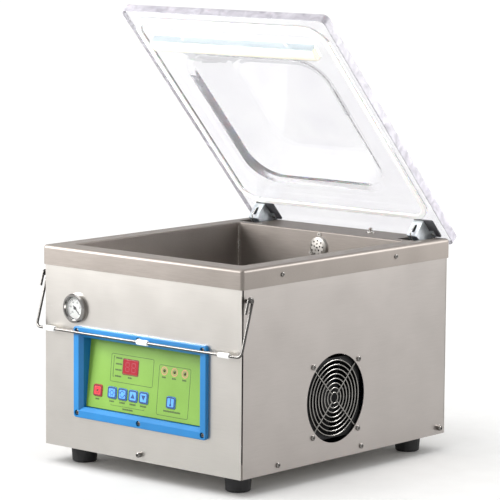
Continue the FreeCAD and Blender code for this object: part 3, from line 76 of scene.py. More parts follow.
def surface(name, dark, light, roughness, grain, stretch=(1, 1, 1), relief=0.0, cloud=60.0,
            **sockets):
    """A finish: two near colours mixed by its grain, roughness that wanders, and a fine relief.

    grain and cloud are pattern sizes in mm, relief a height in mm, stretch draws the grain out
    along an axis, and roughness is the pair it wanders between.
    """
    material = bpy.data.materials.new(name)
    material.use_nodes = True
    tree = material.node_tree
    tree.nodes.clear()
    place = add(tree, "TexCoord").outputs["Object"]
    fine_place = add(tree, "Mapping", {"Vector": place,
                                       "Scale": [s / (grain * MM) for s in stretch]})
    fine = add(tree, "TexNoise", {"Vector": fine_place.outputs[0], "Scale": 1.0, "Detail": 3.0,
                                  "Roughness": 0.6})
    wide = add(tree, "TexNoise", {"Vector": place, "Scale": 1 / (cloud * MM), "Detail": 2.0})
    both = add(tree, "Math", {0: fine.outputs[0], 1: wide.outputs[0]}, operation="ADD")
    share = add(tree, "MapRange", {0: both.outputs[0], 1: 0.7, 2: 1.3})
    colour = add(tree, "Mix", {0: share.outputs[0], 6: linear(dark), 7: linear(light)},
                 data_type="RGBA")
    rough = add(tree, "MapRange", {0: both.outputs[0], 1: 0.6, 2: 1.4, 3: roughness[0],
                                   4: roughness[1]})
    shader = add(tree, "BsdfPrincipled", {"Base Color": colour.outputs[2],
                                          "Roughness": rough.outputs[0], **sockets})
    if relief:
        bump = add(tree, "Bump", {"Height": fine.outputs[0], "Distance": relief * MM,
                                  "Strength": 1.0})
        tree.links.new(bump.outputs[0], shader.inputs["Normal"])
    add(tree, "OutputMaterial", {"Surface": shader.outputs[0]})
    return material


# ---- finishes ----
# Satin 304 sheet, belt-brushed: fine straight grain that stretches the highlights along the belt.
panel_across = surface("satin_304_brushed_across", "#BDB9B4", "#C4C0BB", (0.3, 0.34), 0.9,
                       stretch=(0.02, 1, 1), relief=0.0022, Metallic=1.0)
# The side panels' copy of the same sheet is painted darker than the front's: painted shade on the
# side panels.
panel_fore_aft_painted_shade = surface("satin_304_brushed_fore_and_aft_painted_shade", "#AAA4A0", "#B1ABA7", (0.3, 0.34), 0.9,
                         stretch=(1, 0.02, 1), relief=0.0022, Metallic=1.0)
# Pressed 304 pan: a greyer, duller drawn surface with faint clouds from forming.
pressed_pan = surface("pressed_304_satin_pan", "#756E68", "#817A74", (0.4, 0.5), 1.3,
                      stretch=(0.06, 1, 1), relief=0.003, cloud=90.0, Metallic=0.5)
# Dressed weld bead with the ripple of the weld, painted far brighter than the sheet beside it: a
# real bead carrying a painted highlight down the chamber's corners.
weld_bead_painted_highlight = surface("dressed_weld_bead_painted_highlight", "#D8D6D2", "#F2F1EE", (0.2, 0.32), 1.4, relief=0.05,
                    Metallic=1.0)
# Electropolished stainless wire and bolts: nearly mirror bright, only faintly clouded.
polished_steel = surface("polished_stainless_wire", "#A19F9B", "#B7B5B1", (0.12, 0.22), 3.0,
                         relief=0.002, Metallic=1.0)
# Bail wire: the same stainless painted much darker than the polished parts, as painted shade, so
# its round shape reads as light and dark.
drawn_wire_painted_shade = surface("drawn_stainless_wire_painted_shade", "#4E4C4A", "#646260", (0.14, 0.22), 2.0,
                     relief=0.003, Metallic=1.0)
# Nickel-plated guard wire: a mid grey that stands out from the black behind it without glare.
guard_wire = surface("nickel_plated_guard_wire", "#85837F", "#9A9894", (0.2, 0.3), 2.0,
                     relief=0.003, Metallic=1.0)
# Chromed gauge case: a clean dark mirror ring round the dial.
chromed_case = surface("chromed_gauge_case", "#83817F", "#93918F", (0.1, 0.18), 2.0,
                       relief=0.002, Metallic=1.0)
# Screw heads: the same steel painted a shade darker, painted shade in place of the dark recesses
# round them, so each head reads on its panel.
screw_steel_painted_shade = surface("passivated_screw_steel_painted_shade", "#6F6C69", "#8A8784", (0.18, 0.3), 1.5,
                      relief=0.006, Metallic=1.0)
# Perforated stainless cap: satin from tumbling, so its domed face scatters the light.
tumbled_steel = surface("tumbled_stainless_cap", "#99958F", "#AEAAA5", (0.34, 0.46), 0.8,
                        relief=0.006, Metallic=0.85)
# Bright zinc on pressed steel: cool and slightly blotchy from the passivation.
zinc_plate = surface("bright_zinc_pressing", "#C3CACF", "#E0E4E6", (0.3, 0.44), 5.0,
                     relief=0.004, cloud=14.0, Metallic=0.7)
# Extruded aluminium, clear anodised: pale and cool, with die lines along its length.
anodised_strip = surface("anodised_aluminium_extrusion", "#BFCACE", "#D3DCDF", (0.3, 0.42), 0.8,
                         stretch=(0.02, 1, 1), relief=0.003, Metallic=0.9)
# Cast acrylic plate, polished: clear, with a faint lilac cast. Its IOR is set well under real
# acrylic's, so that the bends of the pocket draw a pale outline and not a black one.
LID_CLEAR = 0.95
clear_lid = surface("polished_cast_acrylic", "#F4F3F8", "#FCFCFE", (0.0, 0.02), 45.0, relief=0.03,
                    cloud=120.0, **{"Transmission Weight": LID_CLEAR, "IOR": 1.26})
# Its sawn edge is left satin, so it scatters the light; its dark-to-pale lilac streaks are painted
# refraction of the thick edge.
HINGE = Vector((0, 227.8, 315.1)) * MM       # on the lid's hinge axis
LID_TILT = math.radians(47.7)                # how far open the lid stands at rest
lid_forward = Vector((0, -math.cos(LID_TILT), math.sin(LID_TILT)))
lid_half = Vector((201.5, 240.55, 0)) * MM   # half the plate's width and depth
lid_middle_reach = 229.55 * MM               # from the hinge axis to the plate's middle
lid_corner = 9.0 * MM
EDGE_BAND = 0.4 * MM                         # the sawn face and its broken arrises
EDGE_ROUGHNESS = 0.35
EDGE_CLEAR = 0.2


def frost_and_paint_lid_edge():
    """Makes the acrylic satin wherever it lies on the plate's rounded outline, and paints marbled
    lilac streaks there as painted refraction.
    """
    tree = clear_lid.node_tree
    shader = tree.nodes["Principled BSDF"]
    place = add(tree, "TexCoord").outputs["Object"]
    x = add(tree, "SeparateXYZ", {0: place}).outputs[0]
    reach = add(tree, "VectorMath", {0: place, 1: lid_forward}, operation="DOT_PRODUCT")
    offset = HINGE.dot(lid_forward) + lid_middle_reach
    along = add(tree, "Math", {0: reach.outputs["Value"], 1: offset}, operation="SUBTRACT")
    flat = add(tree, "CombineXYZ", {0: x, 1: along.outputs[0]})
    size = add(tree, "VectorMath", {0: flat.outputs[0]}, operation="ABSOLUTE")
    inset = [h - lid_corner for h in lid_half[:2]] + [1.0]
    past = add(tree, "VectorMath", {0: size.outputs[0], 1: inset}, operation="SUBTRACT")
    past = add(tree, "VectorMath", {0: past.outputs[0], 1: (0, 0, 0)}, operation="MAXIMUM")
    past = add(tree, "VectorMath", {0: past.outputs[0]}, operation="LENGTH")
    edge = add(tree, "Math", {0: past.outputs["Value"], 1: lid_corner - EDGE_BAND},
               operation="GREATER_THAN").outputs[0]
    # Dark-to-pale streaks on the edge band: painted refraction.
    painted_refraction_streaks = add(tree, "TexNoise", {"Vector": place, "Scale": 55.0, "Detail": 6.0,
                                     "Distortion": 1.2})
    lilac_painted_refraction = add(tree, "Mix", {0: painted_refraction_streaks.outputs[0], 6: linear("#57535F"), 7: linear("#DEDBE2")},
                data_type="RGBA")
    clear_colour = shader.inputs["Base Color"].links[0].from_socket
    clear_rough = shader.inputs["Roughness"].links[0].from_socket
    colour = add(tree, "Mix", {0: edge, 6: clear_colour, 7: lilac_painted_refraction.outputs[2]}, data_type="RGBA")
    rough = add(tree, "Mix", {0: edge, 2: clear_rough, 3: EDGE_ROUGHNESS}, data_type="FLOAT")
    through = add(tree, "MapRange", {0: edge, 1: 0.0, 2: 1.0, 3: LID_CLEAR, 4: EDGE_CLEAR})
    tree.links.new(colour.outputs[2], shader.inputs["Base Color"])
    tree.links.new(rough.outputs[0], shader.inputs["Roughness"])
    tree.links.new(through.outputs[0], shader.inputs["Transmission Weight"])


frost_and_paint_lid_edge()
# Moulded silicone rubber: soft, matt and slightly translucent, with a dusting of talc.
white_silicone = surface("moulded_white_silicone", "#F3F2EF", "#FCFBF9", (0.42, 0.56), 2.0,
                         relief=0.03, **{"Subsurface Weight": 0.15, "Subsurface Scale": 0.002})
cream_silicone = surface("extruded_cream_silicone", "#EDE7D2", "#F8F4E6", (0.32, 0.46), 2.5,
                         stretch=(0.05, 1, 1), relief=0.02,
                         **{"Subsurface Weight": 0.2, "Subsurface Scale": 0.003})
# Natural rubber feet: almost black, with a bloom and a fine mould grain.
black_rubber = surface("moulded_black_rubber", "#161617", "#28282A", (0.55, 0.75), 0.9,
                       relief=0.04)
# Glass-filled nylon: dark grey with the glass fibres' speckle.
black_nylon = surface("glass_filled_black_nylon", "#0D0D0E", "#1A1A1C", (0.38, 0.55), 0.8,
                      relief=0.02)
# Fan nylon: black plastic painted darker still than the nylon above, as painted shade inside the
# fan's housing.
fan_nylon_painted_shade = surface("matt_black_fan_nylon_painted_shade", "#050506", "#0B0B0C", (0.5, 0.66), 0.8, relief=0.02,
                    **{"Specular IOR Level": 0.2})
grey_pad = surface("moulded_charcoal_pad", "#3E3E41", "#515154", (0.5, 0.66), 1.0, relief=0.02)
# Injection-moulded ABS surround: clean blue with a fine spark-eroded texture.
blue_abs = surface("spark_textured_blue_abs", "#07639A", "#0D70AC", (0.34, 0.46), 0.7,
                   relief=0.012)
# Polyester overlay printed on its back: even green under a fine velvet finish.
green_film = surface("printed_green_polyester", "#648A2E", "#709838", (0.4, 0.5), 0.6,
                     relief=0.006)
blue_key = surface("moulded_light_blue_key", "#4688D8", "#5A9CE6", (0.34, 0.46), 0.6, relief=0.008)
red_key = surface("moulded_red_key", "#C9222E", "#DC3540", (0.34, 0.46), 0.6, relief=0.008)
# Tinted polycarbonate: deep red and glossy over the dark display.
red_window = surface("tinted_red_polycarbonate", "#861420", "#981E2C", (0.14, 0.24), 8.0,
                     relief=0.003)
lamp_tint = surface("tinted_olive_lens", "#39351A", "#4D4624", (0.12, 0.22), 1.5, relief=0.006)
# Screen inks: flat, slightly grainy coats.
dark_ink = surface("dark_blue_screen_ink", "#0C2F58", "#123E70", (0.45, 0.6), 0.4, relief=0.004)
black_ink = surface("black_screen_ink", "#10180C", "#1D2817", (0.45, 0.6), 0.4, relief=0.004)
maroon_ink = surface("maroon_screen_ink", "#560A14", "#6A101C", (0.45, 0.6), 0.4, relief=0.004)
pale_ink = surface("straw_screen_ink", "#7C7F44", "#8A8D50", (0.45, 0.6), 0.4, relief=0.004)
rose_ink = surface("rose_screen_ink", "#C96A62", "#D98078", (0.45, 0.6), 0.4, relief=0.004)
segment_red = surface("unlit_red_segment", "#8A2430", "#962E3A", (0.3, 0.4), 0.8, relief=0.002)
# Stoved enamel on the dial: flat clean white.
dial_enamel = surface("stoved_white_enamel", "#E9E9E6", "#F5F5F3", (0.38, 0.48), 1.2,
                      relief=0.004)
scale_ink = surface("black_scale_ink", "#141416", "#232326", (0.4, 0.5), 0.4, relief=0.002)
gauge_glass = surface("flat_gauge_glass", "#FAFBFB", "#FFFFFF", (0.0, 0.015), 30.0, relief=0.001,
                      **{"Transmission Weight": 1.0, "IOR": 1.5})
white_sleeve = surface("turned_white_nylon", "#EAEAE6", "#F8F8F5", (0.28, 0.4), 1.4, relief=0.008)
# Inside the casing.
cast_enamel = surface("enamelled_grey_casting", "#3B4046", "#4D535A", (0.42, 0.58), 1.6,
                      relief=0.12)
motor_enamel = surface("hammered_blue_enamel", "#24405E", "#335578", (0.3, 0.42), 2.2,
                       relief=0.06)
turned_steel = surface("turned_bright_steel", "#8E8E8C", "#A9A9A6", (0.24, 0.36), 0.7,
                       stretch=(1, 0.1, 0.1), relief=0.006, Metallic=1.0)
lamination = surface("varnished_laminations", "#2A231E", "#41362E", (0.35, 0.5), 0.6,
                     stretch=(1, 1, 0.1), relief=0.03)
machined_brass = surface("machined_brass", "#B08D45", "#C7A55C", (0.24, 0.36), 0.8,
                         stretch=(1, 0.1, 1), relief=0.005, Metallic=1.0)
black_hose = surface("braided_black_hose", "#1D1D1F", "#343437", (0.45, 0.6), 1.4, relief=0.12)
solder_mask = surface("green_solder_mask", "#10492A", "#1A6039", (0.28, 0.4), 2.0, relief=0.02)
heater_strip = surface("oxidised_nichrome_strip", "#6A6661", "#85807A", (0.34, 0.5), 0.9,
                       stretch=(0.05, 1, 1), relief=0.004, Metallic=1.0)
# PTFE-coated glass cloth: brown, with the weave showing through the coating.
ptfe_cloth = surface("ptfe_coated_glass_cloth", "#7A5836", "#946E48", (0.3, 0.42), 0.5,
                     relief=0.03)

node_finish = {
    "front_panel": panel_across, "back_panel": panel_across, "left_panel": panel_fore_aft_painted_shade,
    "right_panel": panel_fore_aft_painted_shade, "base_tray": panel_across, "chamber_pan": pressed_pan,
    "feet": black_rubber, "casing_screws": screw_steel_painted_shade, "suction_cap": tumbled_steel,
    "suction_elbow": cast_enamel, "lift_cylinders": anodised_strip,
    "lift_pistons": polished_steel, "fan_guard": guard_wire, "fan_frame": fan_nylon_painted_shade,
    "fan_impeller": fan_nylon_painted_shade, "fan_screws": screw_steel_painted_shade, "control_frame": blue_abs,
    "control_face": green_film, "display_window": red_window, "indicator_lamps": lamp_tint,
    "frame_screws": screw_steel_painted_shade, "control_board": solder_mask, "key_stop": red_key,
    "key_set": blue_key, "key_mode": blue_key, "key_up": blue_key, "key_down": blue_key,
    "key_temperature": blue_key, "gauge_case": chromed_case, "gauge_dial": dial_enamel,
    "gauge_lens": gauge_glass, "gauge_needle": scale_ink, "hinge_supports": zinc_plate,
    "hinge_pins": polished_steel, "lid_shell": clear_lid, "lid_gasket": white_silicone,
    "silicone_bar": cream_silicone, "bar_holder": anodised_strip, "lid_bolts": polished_steel,
    "hinge_channels": zinc_plate, "hinge_pads": grey_pad, "hinge_springs": polished_steel,
    "bail_wire": drawn_wire_painted_shade, "bail_sleeves": white_sleeve, "bail_posts": drawn_wire_painted_shade,
    "switch_plunger": polished_steel, "switch_bush": polished_steel,
    "micro_switch": black_nylon, "pump_motor": motor_enamel, "pump_head": cast_enamel,
    "oil_tank": cast_enamel, "pump_rotor": turned_steel, "transformer": lamination,
    "solenoid_valves": machined_brass, "hoses": black_hose, "power_inlet": black_nylon,
    "rocker": black_nylon, "seal_bar": anodised_strip, "heating_strip": heater_strip,
    "sealing_tape": ptfe_cloth,
}
for node_name, finish in node_finish.items():
    slots = frame["nodes"][node_name].data.materials
    slots.clear()
    slots.append(finish)


# ---- mesh helpers ----

def prism(bm, outline, low, high, place, hole=None):
    """A closed plate from an outline in mm, or a closed band if it has a hole.

    The hole has as many points as the outline.
    """
    rings = []
    for points in ([outline] if hole is None else [outline, hole]):
        for z in (low, high):
            rings.append([bm.verts.new(place @ Vector((x * MM, y * MM, z * MM)))
                          for x, y in points])
    n = len(outline)
    if hole is None:
        bottom, top = rings
        bm.faces.new(bottom[::-1])
        bm.faces.new(top)
        strips = [(bottom, top)]
    else:
        outer_low, outer_high, inner_low, inner_high = rings
        strips = [(outer_low, outer_high), (outer_high, inner_high), (inner_high, inner_low),
                  (inner_low, outer_low)]
    for a, b in strips:
        for i in range(n):
            j = (i + 1) % n
            bm.faces.new((a[i], a[j], b[j], b[i]))


def round_rect(x, y, w, h, r, steps=5):
    """Points of a rounded rectangle centred on x, y."""
    points = []
    for quarter, (sx, sy) in enumerate(((1, 1), (-1, 1), (-1, -1), (1, -1))):
        for i in range(steps + 1):
            a = math.pi / 2 * (quarter + i / steps)
            points.append((x + sx * (w / 2 - r) + r * math.cos(a),
                           y + sy * (h / 2 - r) + r * math.sin(a)))
    return points


def circle(x, y, r, steps=28):
    return [(x + r * math.cos(2 * math.pi * i / steps), y + r * math.sin(2 * math.pi * i / steps))
            for i in range(steps)]


def slab(x0, y0, x1, y1):
    return [(x0, y0), (x1, y0), (x1, y1), (x0, y1)]


def turned_slab(x, y, length, width, degrees):
    """A slab centred on x, y with its length turned by that angle."""
    c, s = math.cos(math.radians(degrees)), math.sin(math.radians(degrees))
    return [(x + c * u - s * v, y + s * u + c * v)
            for u, v in slab(-length / 2, -width / 2, length / 2, width / 2)]


def piece(name, shapes, finish, body, place):
    """Makes one part from prisms (outline, low, high, hole) and lets it ride on a body."""
    bm = bmesh.new()
    for outline, low, high, hole in shapes:
        prism(bm, outline, low, high, place, hole)
    bmesh.ops.recalc_face_normals(bm, faces=bm.faces)
    mesh = bpy.data.meshes.new(name)
    bm.to_mesh(mesh)
    bm.free()
    mesh.materials.append(finish)
    part = bpy.data.objects.new(name, mesh)
    bpy.context.scene.collection.objects.link(part)
    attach(part, body)
    return part


# ---- printed control panel ----
# Its own axes: x to the right and y up along the sloping face, in mm, z out of it.
front_y = -241.2            # the front panel's outer face
foot_height = 27.0
frame_rise = 146.0          # middle of the panel above the table
FACE_HEIGHT = 106.0
FACE_FOOT_DEPTH = 5.0       # how deep the sloping face lies behind the front, at its foot
FACE_TOP_DEPTH = 16.0
face_slope = (FACE_TOP_DEPTH - FACE_FOOT_DEPTH) / FACE_HEIGHT
face_middle_depth = (FACE_TOP_DEPTH + FACE_FOOT_DEPTH) / 2


def on_face(x, height):
    """Where a print lies: x from the machine's middle, height above the casing's underside."""
    z = foot_height + height
    y = front_y + face_middle_depth + (z - frame_rise) * face_slope
    turn = Matrix.Rotation(math.pi / 2 - math.atan(face_slope), 4, "X")
    return Matrix.Translation((x * MM, y * MM, z * MM)) @ turn


INK = (0.01, 0.07)          # a coat of ink, just clear of what it is printed on
KEY_TOP = 1.4               # a key's top above the face
ON_KEY = (KEY_TOP + INK[0], KEY_TOP + INK[1])
RISE = frame_rise - foot_height
panel = on_face(0.0, RISE)
KEY_XS = {"key_stop": -93.7, "key_set": -64.2, "key_mode": -42.9, "key_up": -21.6,
          "key_down": -0.3, "key_temperature": 53.9}
LAMP_XS = (36.5, 56.5, 76.9)


def line_box(x0, x1, low, high, r, line):
    """A printed outline between those x and heights."""
    x, y, w, h = (x0 + x1) / 2, (low + high) / 2 - RISE, x1 - x0, high - low
    return (round_rect(x, y, w, h, r), *INK,
            round_rect(x, y, w - 2 * line, h - 2 * line, r - line))


def caption(x, height, width, tall=2.6, step=1.6):
    """A row of short plain bars in place of lettering."""
    count = max(2, int(width / step))
    bars = []
    for i in range(count):
        left = x - count * step / 2 + i * step
        drop = (0.0, 0.35, 0.15)[i % 3]
        bars.append((slab(left, height - RISE - tall / 2 + drop / 2, left + 1.05,
                          height - RISE + tall / 2 - drop), *INK, None))
    return bars


def ink_slab(x0, low, x1, high):
    """A printed bar between those x and heights."""
    return (slab(x0, low - RISE, x1, high - RISE), *INK, None)


BOX_CORNER, BOX_LINE = 3.0, 0.6
CAPTION_ROWS = (146.0, 137.2, 128.4, 119.0)  # the four lines beside the display
KEY_CAPTION_WIDTHS = {"key_stop": 8, "key_set": 11, "key_mode": 12, "key_up": 13, "key_down": 13}
KEY_CAPTION_HEIGHT = 80.5
WINDOW_X = -31.0
lines = [line_box(-71, 15, 110, 152, BOX_CORNER, BOX_LINE),
         line_box(26, 88.5, 72.5, 146.5, BOX_CORNER, BOX_LINE)]
# bracket beside the four captions of the display box
lines += [ink_slab(-66.0, 117.5, -65.2, 148.5), ink_slab(-65.2, 147.7, -63.4, 148.5),
          ink_slab(-65.2, 117.5, -63.4, 118.3)]
# bracket under the four blue keys
lines += [ink_slab(-66, 74.6, 2, 75.1), ink_slab(-66, 75.1, -65.5, 76.8),
          ink_slab(1.5, 75.1, 2, 76.8)]
for row_height in CAPTION_ROWS:
    lines += caption(-55.0, row_height, 13)
lines += caption(WINDOW_X, CAPTION_ROWS[-1], 9)
for key_name, width in KEY_CAPTION_WIDTHS.items():
    lines += caption(KEY_XS[key_name], KEY_CAPTION_HEIGHT, width)
lines += caption(WINDOW_X, 71.5, 22) + caption(57.0, 80.0, 34)
for lamp_x in LAMP_XS:
    lines += caption(lamp_x, 128.5, 8)
piece("panel_print", lines, black_ink, "machine", panel)

LENS_HOLE = 2.7             # the lamp's lens shows through this much of its disc
LAMP_DISC = 5.4
LAMP_RIM = 6.2
lamp_y = 138.0 - RISE
piece("lamp_discs", [(circle(x, lamp_y, LAMP_DISC), *INK, circle(x, lamp_y, LENS_HOLE))
                     for x in LAMP_XS],
      pale_ink, "machine", panel)
piece("lamp_rims", [(circle(x, lamp_y, LAMP_RIM), *INK, circle(x, lamp_y, LAMP_DISC + 0.1))
                    for x in LAMP_XS],
      rose_ink, "machine", panel)
window_y = 134.6 - RISE
window_size = (30.4, 21.9)
WINDOW_LINE = 1.3
piece("window_border", [(round_rect(WINDOW_X, window_y, window_size[0] + 2 * WINDOW_LINE,
                                    window_size[1] + 2 * WINDOW_LINE, 2.6), *INK,
                         round_rect(WINDOW_X, window_y, *window_size, 2.0))],
      maroon_ink, "machine", panel)


def digit(x, y, w, h, bar, z):
    """The seven unlit bars of one digit."""
    wide, tall = w - 1.6 * bar, h / 2 - 1.3 * bar
    shapes = [(turned_slab(x, y + k * (h - bar) / 2, wide, bar, 0), *z, None) for k in (-1, 0, 1)]
    for side in (-1, 1):
        for half in (-1, 1):
            shapes.append((turned_slab(x + side * (w - bar) / 2, y + half * h / 4, tall, bar, 90),
                           *z, None))
    return shapes


WINDOW_TOP = (0.41, 0.46)   # just clear of the tinted window
DIGIT = (8.6, 14.5, 1.5)    # width, height and bar of one digit
DIGIT_STEP = 12.4
piece("display_digits", digit(WINDOW_X - DIGIT_STEP / 2, window_y, *DIGIT, WINDOW_TOP)
      + digit(WINDOW_X + DIGIT_STEP / 2, window_y, *DIGIT, WINDOW_TOP),
      segment_red, "machine", panel)

# key caps: a thick printed border and a simple sign on each
KEY_HEIGHT = 93.5
KEY_BORDER = (17.0, 12.3)   # outer and inner side of the printed border
KEY_CORNERS = (2.9, 1.5)


def arc_band(x, y, r, width, start, sweep, steps=14):
    """A bent band: the outline of part of a ring."""
    out = [(x + (r + width / 2) * math.cos(math.radians(start + sweep * i / steps)),
            y + (r + width / 2) * math.sin(math.radians(start + sweep * i / steps)))
           for i in range(steps + 1)]
    back = [(x + (r - width / 2) * math.cos(math.radians(start + sweep * i / steps)),
             y + (r - width / 2) * math.sin(math.radians(start + sweep * i / steps)))
            for i in range(steps, -1, -1)]
    return out + back


def arrow(x, y, size, degrees):
    """A triangle pointing along that angle."""
    a = math.radians(degrees)
    return [(x + size * math.cos(a + t), y + size * math.sin(a + t))
            for t in (0, 2 * math.pi / 3, 4 * math.pi / 3)]


signs = {
    "key_stop": [(round_rect(0, 0, 8.4, 8.4, 3.4), *ON_KEY, round_rect(0, 0, 6.6, 6.6, 2.5)),
                 (slab(-2.0, -2.0, 2.0, 2.0), *ON_KEY, None)],
    "key_set": [(circle(0, 0, 3.6), *ON_KEY, circle(0, 0, 2.6))]
               + [(turned_slab(5.0 * math.cos(math.radians(a)), 5.0 * math.sin(math.radians(a)),
                               1.5, 1.1, a), *ON_KEY, None) for a in range(0, 360, 60)],
    "key_mode": [(arc_band(0, 0, 4.3, 1.1, 25, 130), *ON_KEY, None),
                 (arc_band(0, 0, 4.3, 1.1, 205, 130), *ON_KEY, None),
                 (arrow(-4.3, 1.2, 1.9, 270), *ON_KEY, None),
                 (arrow(4.3, -1.2, 1.9, 90), *ON_KEY, None)],
    "key_up": [([(-4.3, -3.6), (4.3, -3.6), (0, 4.2)], *ON_KEY, None)],
    "key_down": [([(4.3, 3.6), (-4.3, 3.6), (0, -4.2)], *ON_KEY, None)],
    "key_temperature": [(round_rect(0, 1.4, 1.7, 9.0, 0.8), *ON_KEY, None),
                        (circle(0, -3.7, 2.0, 20), *ON_KEY, None)],
}
for key_name, key_x in KEY_XS.items():
    ink = maroon_ink if key_name == "key_stop" else dark_ink
    border = (round_rect(0, 0, KEY_BORDER[0], KEY_BORDER[0], KEY_CORNERS[0]), *ON_KEY,
              round_rect(0, 0, KEY_BORDER[1], KEY_BORDER[1], KEY_CORNERS[1]))
    piece(key_name + "_print", [border] + signs[key_name], ink, "cap_" + key_name[4:],
          on_face(key_x, KEY_HEIGHT))


# ---- gauge dial ----
GAUGE_AT = Vector((-132.0, front_y, 241.0)) * MM
gauge_place = Matrix.Translation(GAUGE_AT) @ Matrix.Rotation(math.pi / 2, 4, "X")
DIAL = (1.01, 1.06)         # ink just clear of the dial's face
TICK_LENGTHS = (1.5, 2.2, 3.0)
TICK_OUTER = 14.4
SMALL_TICK, LARGE_TICK = 0.28, 0.5
FIGURE_RADIUS = 9.2
FIGURE_SIZE = 3.6
TICKS = 50
SCALE_START = -45.0         # the scale runs anticlockwise from lower right, as a vacuum dial's does
SCALE_SWEEP = 270.0
ticks = []
for i in range(TICKS + 1):
    angle = SCALE_START + SCALE_SWEEP * i / TICKS
    length = TICK_LENGTHS[(i % 5 == 0) + (i % 10 == 0)]
    mid = TICK_OUTER - length / 2
    turn = math.radians(angle)
    width = LARGE_TICK if i % 10 == 0 else SMALL_TICK
    ticks.append((turned_slab(mid * math.cos(turn), mid * math.sin(turn), length, width, angle),
                  *DIAL, None))
ticks.append((arc_band(0, 0, 14.6, 0.35, SCALE_START, SCALE_SWEEP, 48), *DIAL, None))
piece("dial_scale", ticks, scale_ink, "machine", gauge_place)


def dial_numbers():
    """The numbers of the scale, cut as thin solid figures."""
    figures = []
    for i in range(6):
        angle = math.radians(SCALE_START + SCALE_SWEEP * i / 5)
        curve = bpy.data.curves.new("figure", "FONT")
        curve.body = str(20 * i)
        curve.size = FIGURE_SIZE * MM
        curve.extrude = 0.03 * MM
        curve.resolution_u = 3
        curve.align_x = "CENTER"
        curve.align_y = "CENTER"
        text = bpy.data.objects.new("figure", curve)
        bpy.context.scene.collection.objects.link(text)
        at = Matrix.Translation((FIGURE_RADIUS * math.cos(angle) * MM,
                                 FIGURE_RADIUS * math.sin(angle) * MM, 1.05 * MM))
        mesh = bpy.data.meshes.new_from_object(text)
        mesh.transform(gauge_place @ at)
        bpy.data.objects.remove(text)
        figures.append(mesh)
    bm = bmesh.new()
    for mesh in figures:
        bm.from_mesh(mesh)
    whole = bpy.data.meshes.new("dial_numbers")
    bm.to_mesh(whole)
    bm.free()
    whole.materials.clear()
    whole.materials.append(scale_ink)
    part = bpy.data.objects.new("dial_numbers", whole)
    bpy.context.scene.collection.objects.link(part)
    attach(part, "machine")


dial_numbers()


# ---- dressed welds down the chamber's corners ----
mouth_half = 168.0
mouth_y = (front_y + 32, front_y + 408)
corner_bend = 7.0 * (1 - math.sqrt(0.5))    # how far a corner's bend stands in from its sides
WELD_RADIUS = 1.5
WELD_SPAN = (222.0, 326.0)  # heights of its two ends
welds = []
for sx in (-1, 1):
    for y, sy in ((mouth_y[0], 1), (mouth_y[1], -1)):
        x, y = sx * (mouth_half - corner_bend), y + sy * corner_bend
        welds.append((circle(x, y, WELD_RADIUS, 12), *WELD_SPAN, None))
piece("chamber_welds", welds, weld_bead_painted_highlight, "machine", Matrix.Identity(4))


# ---- floor, light and camera ----
floor_mesh = bpy.data.meshes.new("floor")
floor_mesh.from_pydata([(-40, -40, 0), (40, -40, 0), (40, 40, 0), (-40, 40, 0)], [], [(0, 1, 2, 3)])
floor_mesh.materials.append(surface("plain_pale_floor", "#FBFBFA", "#FFFFFE", (0.7, 0.8), 40.0))
floor = bpy.data.objects.new("floor", floor_mesh)
bpy.context.scene.collection.objects.link(floor)
floor.location.z = -0.0005

scene = bpy.context.scene
scene.view_settings.view_transform = "Standard"
scene.cycles.max_bounces = 32
scene.cycles.transmission_bounces = 28
scene.cycles.glossy_bounces = 8
world = bpy.data.worlds.new("studio")
scene.world = world
world.use_nodes = True
sky = world.node_tree
sky.nodes.clear()
# An even white surround with one duller quarter, off the machine's right-hand back corner.
EVEN, DULL = 0.8, 0.55
DULL_QUARTER = (0.62, 0.72, 0.1)
direction = add(sky, "TexCoord").outputs["Generated"]
toward_dull = add(sky, "VectorMath", {0: direction, 1: DULL_QUARTER}, operation="DOT_PRODUCT")
strength = add(sky, "MapRange", {0: toward_dull.outputs["Value"], 1: 0.35, 2: 0.95, 3: EVEN,
                                 4: DULL}, interpolation_type="SMOOTHSTEP")
background = add(sky, "Background", {"Color": (1, 1, 1, 1), "Strength": strength.outputs[0]})
add(sky, "OutputWorld", {"Surface": background.outputs[0]})


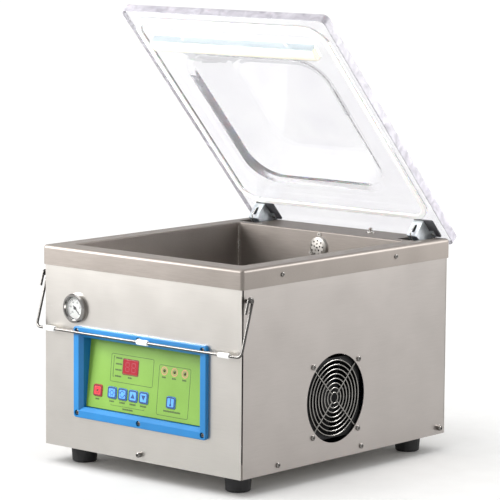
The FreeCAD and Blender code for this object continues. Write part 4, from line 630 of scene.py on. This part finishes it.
def softbox(name, at, aim, size, power, lit=None):
    """A square area lamp looking at a point; it lights only the collection lit, if given."""
    lamp = bpy.data.lights.new(name, "AREA")
    lamp.shape = "SQUARE"
    lamp.size = size
    lamp.energy = power
    holder = bpy.data.objects.new(name, lamp)
    scene.collection.objects.link(holder)
    holder.light_linking.receiver_collection = lit
    holder.location = at
    holder.rotation_euler = (Vector(aim) - Vector(at)).to_track_quat("-Z", "Y").to_euler()


machine_parts = bpy.data.collections.new("machine_parts")
for part in scene.objects:
    if part.type == "MESH" and part != floor:
        machine_parts.objects.link(part)
softbox("left_box", (-0.6, -0.76, 0.62), (-0.05, -0.24, 0.3), 0.45, 17, machine_parts)
softbox("right_box", (0.72, 0.56, 0.62), (0.2, -0.04, 0.3), 0.45, 10, machine_parts)
overhead = bpy.data.lights.new("overhead", "SUN")
overhead.energy = 1.15
overhead.angle = math.radians(50)
overhead_holder = bpy.data.objects.new("overhead", overhead)
scene.collection.objects.link(overhead_holder)
overhead_holder.rotation_euler = Vector((0.1, 0.35, -1.0)).to_track_quat("-Z", "Y").to_euler()

CAMERA_AT = Vector((2.8120, -3.2344, 0.8932))
CAMERA_LENS = 204.6
azimuth, pitch, roll = math.radians(40.99), math.radians(7.65), math.radians(0.44)
camera_data = bpy.data.cameras.new("camera")
camera_data.sensor_width = 36.0
camera_data.lens = CAMERA_LENS
camera_data.clip_end = 100.0
camera = bpy.data.objects.new("camera", camera_data)
scene.collection.objects.link(camera)
scene.camera = camera
forward = Vector((-math.sin(azimuth) * math.cos(pitch), math.cos(azimuth) * math.cos(pitch),
                  -math.sin(pitch)))
level = Vector((math.cos(azimuth), math.sin(azimuth), 0))
upright = level.cross(forward)
right = level * math.cos(roll) + upright * math.sin(roll)
up = right.cross(forward)
camera.matrix_world = Matrix((
    (right.x, up.x, -forward.x, CAMERA_AT.x),
    (right.y, up.y, -forward.y, CAMERA_AT.y),
    (right.z, up.z, -forward.z, CAMERA_AT.z),
    (0, 0, 0, 1)))
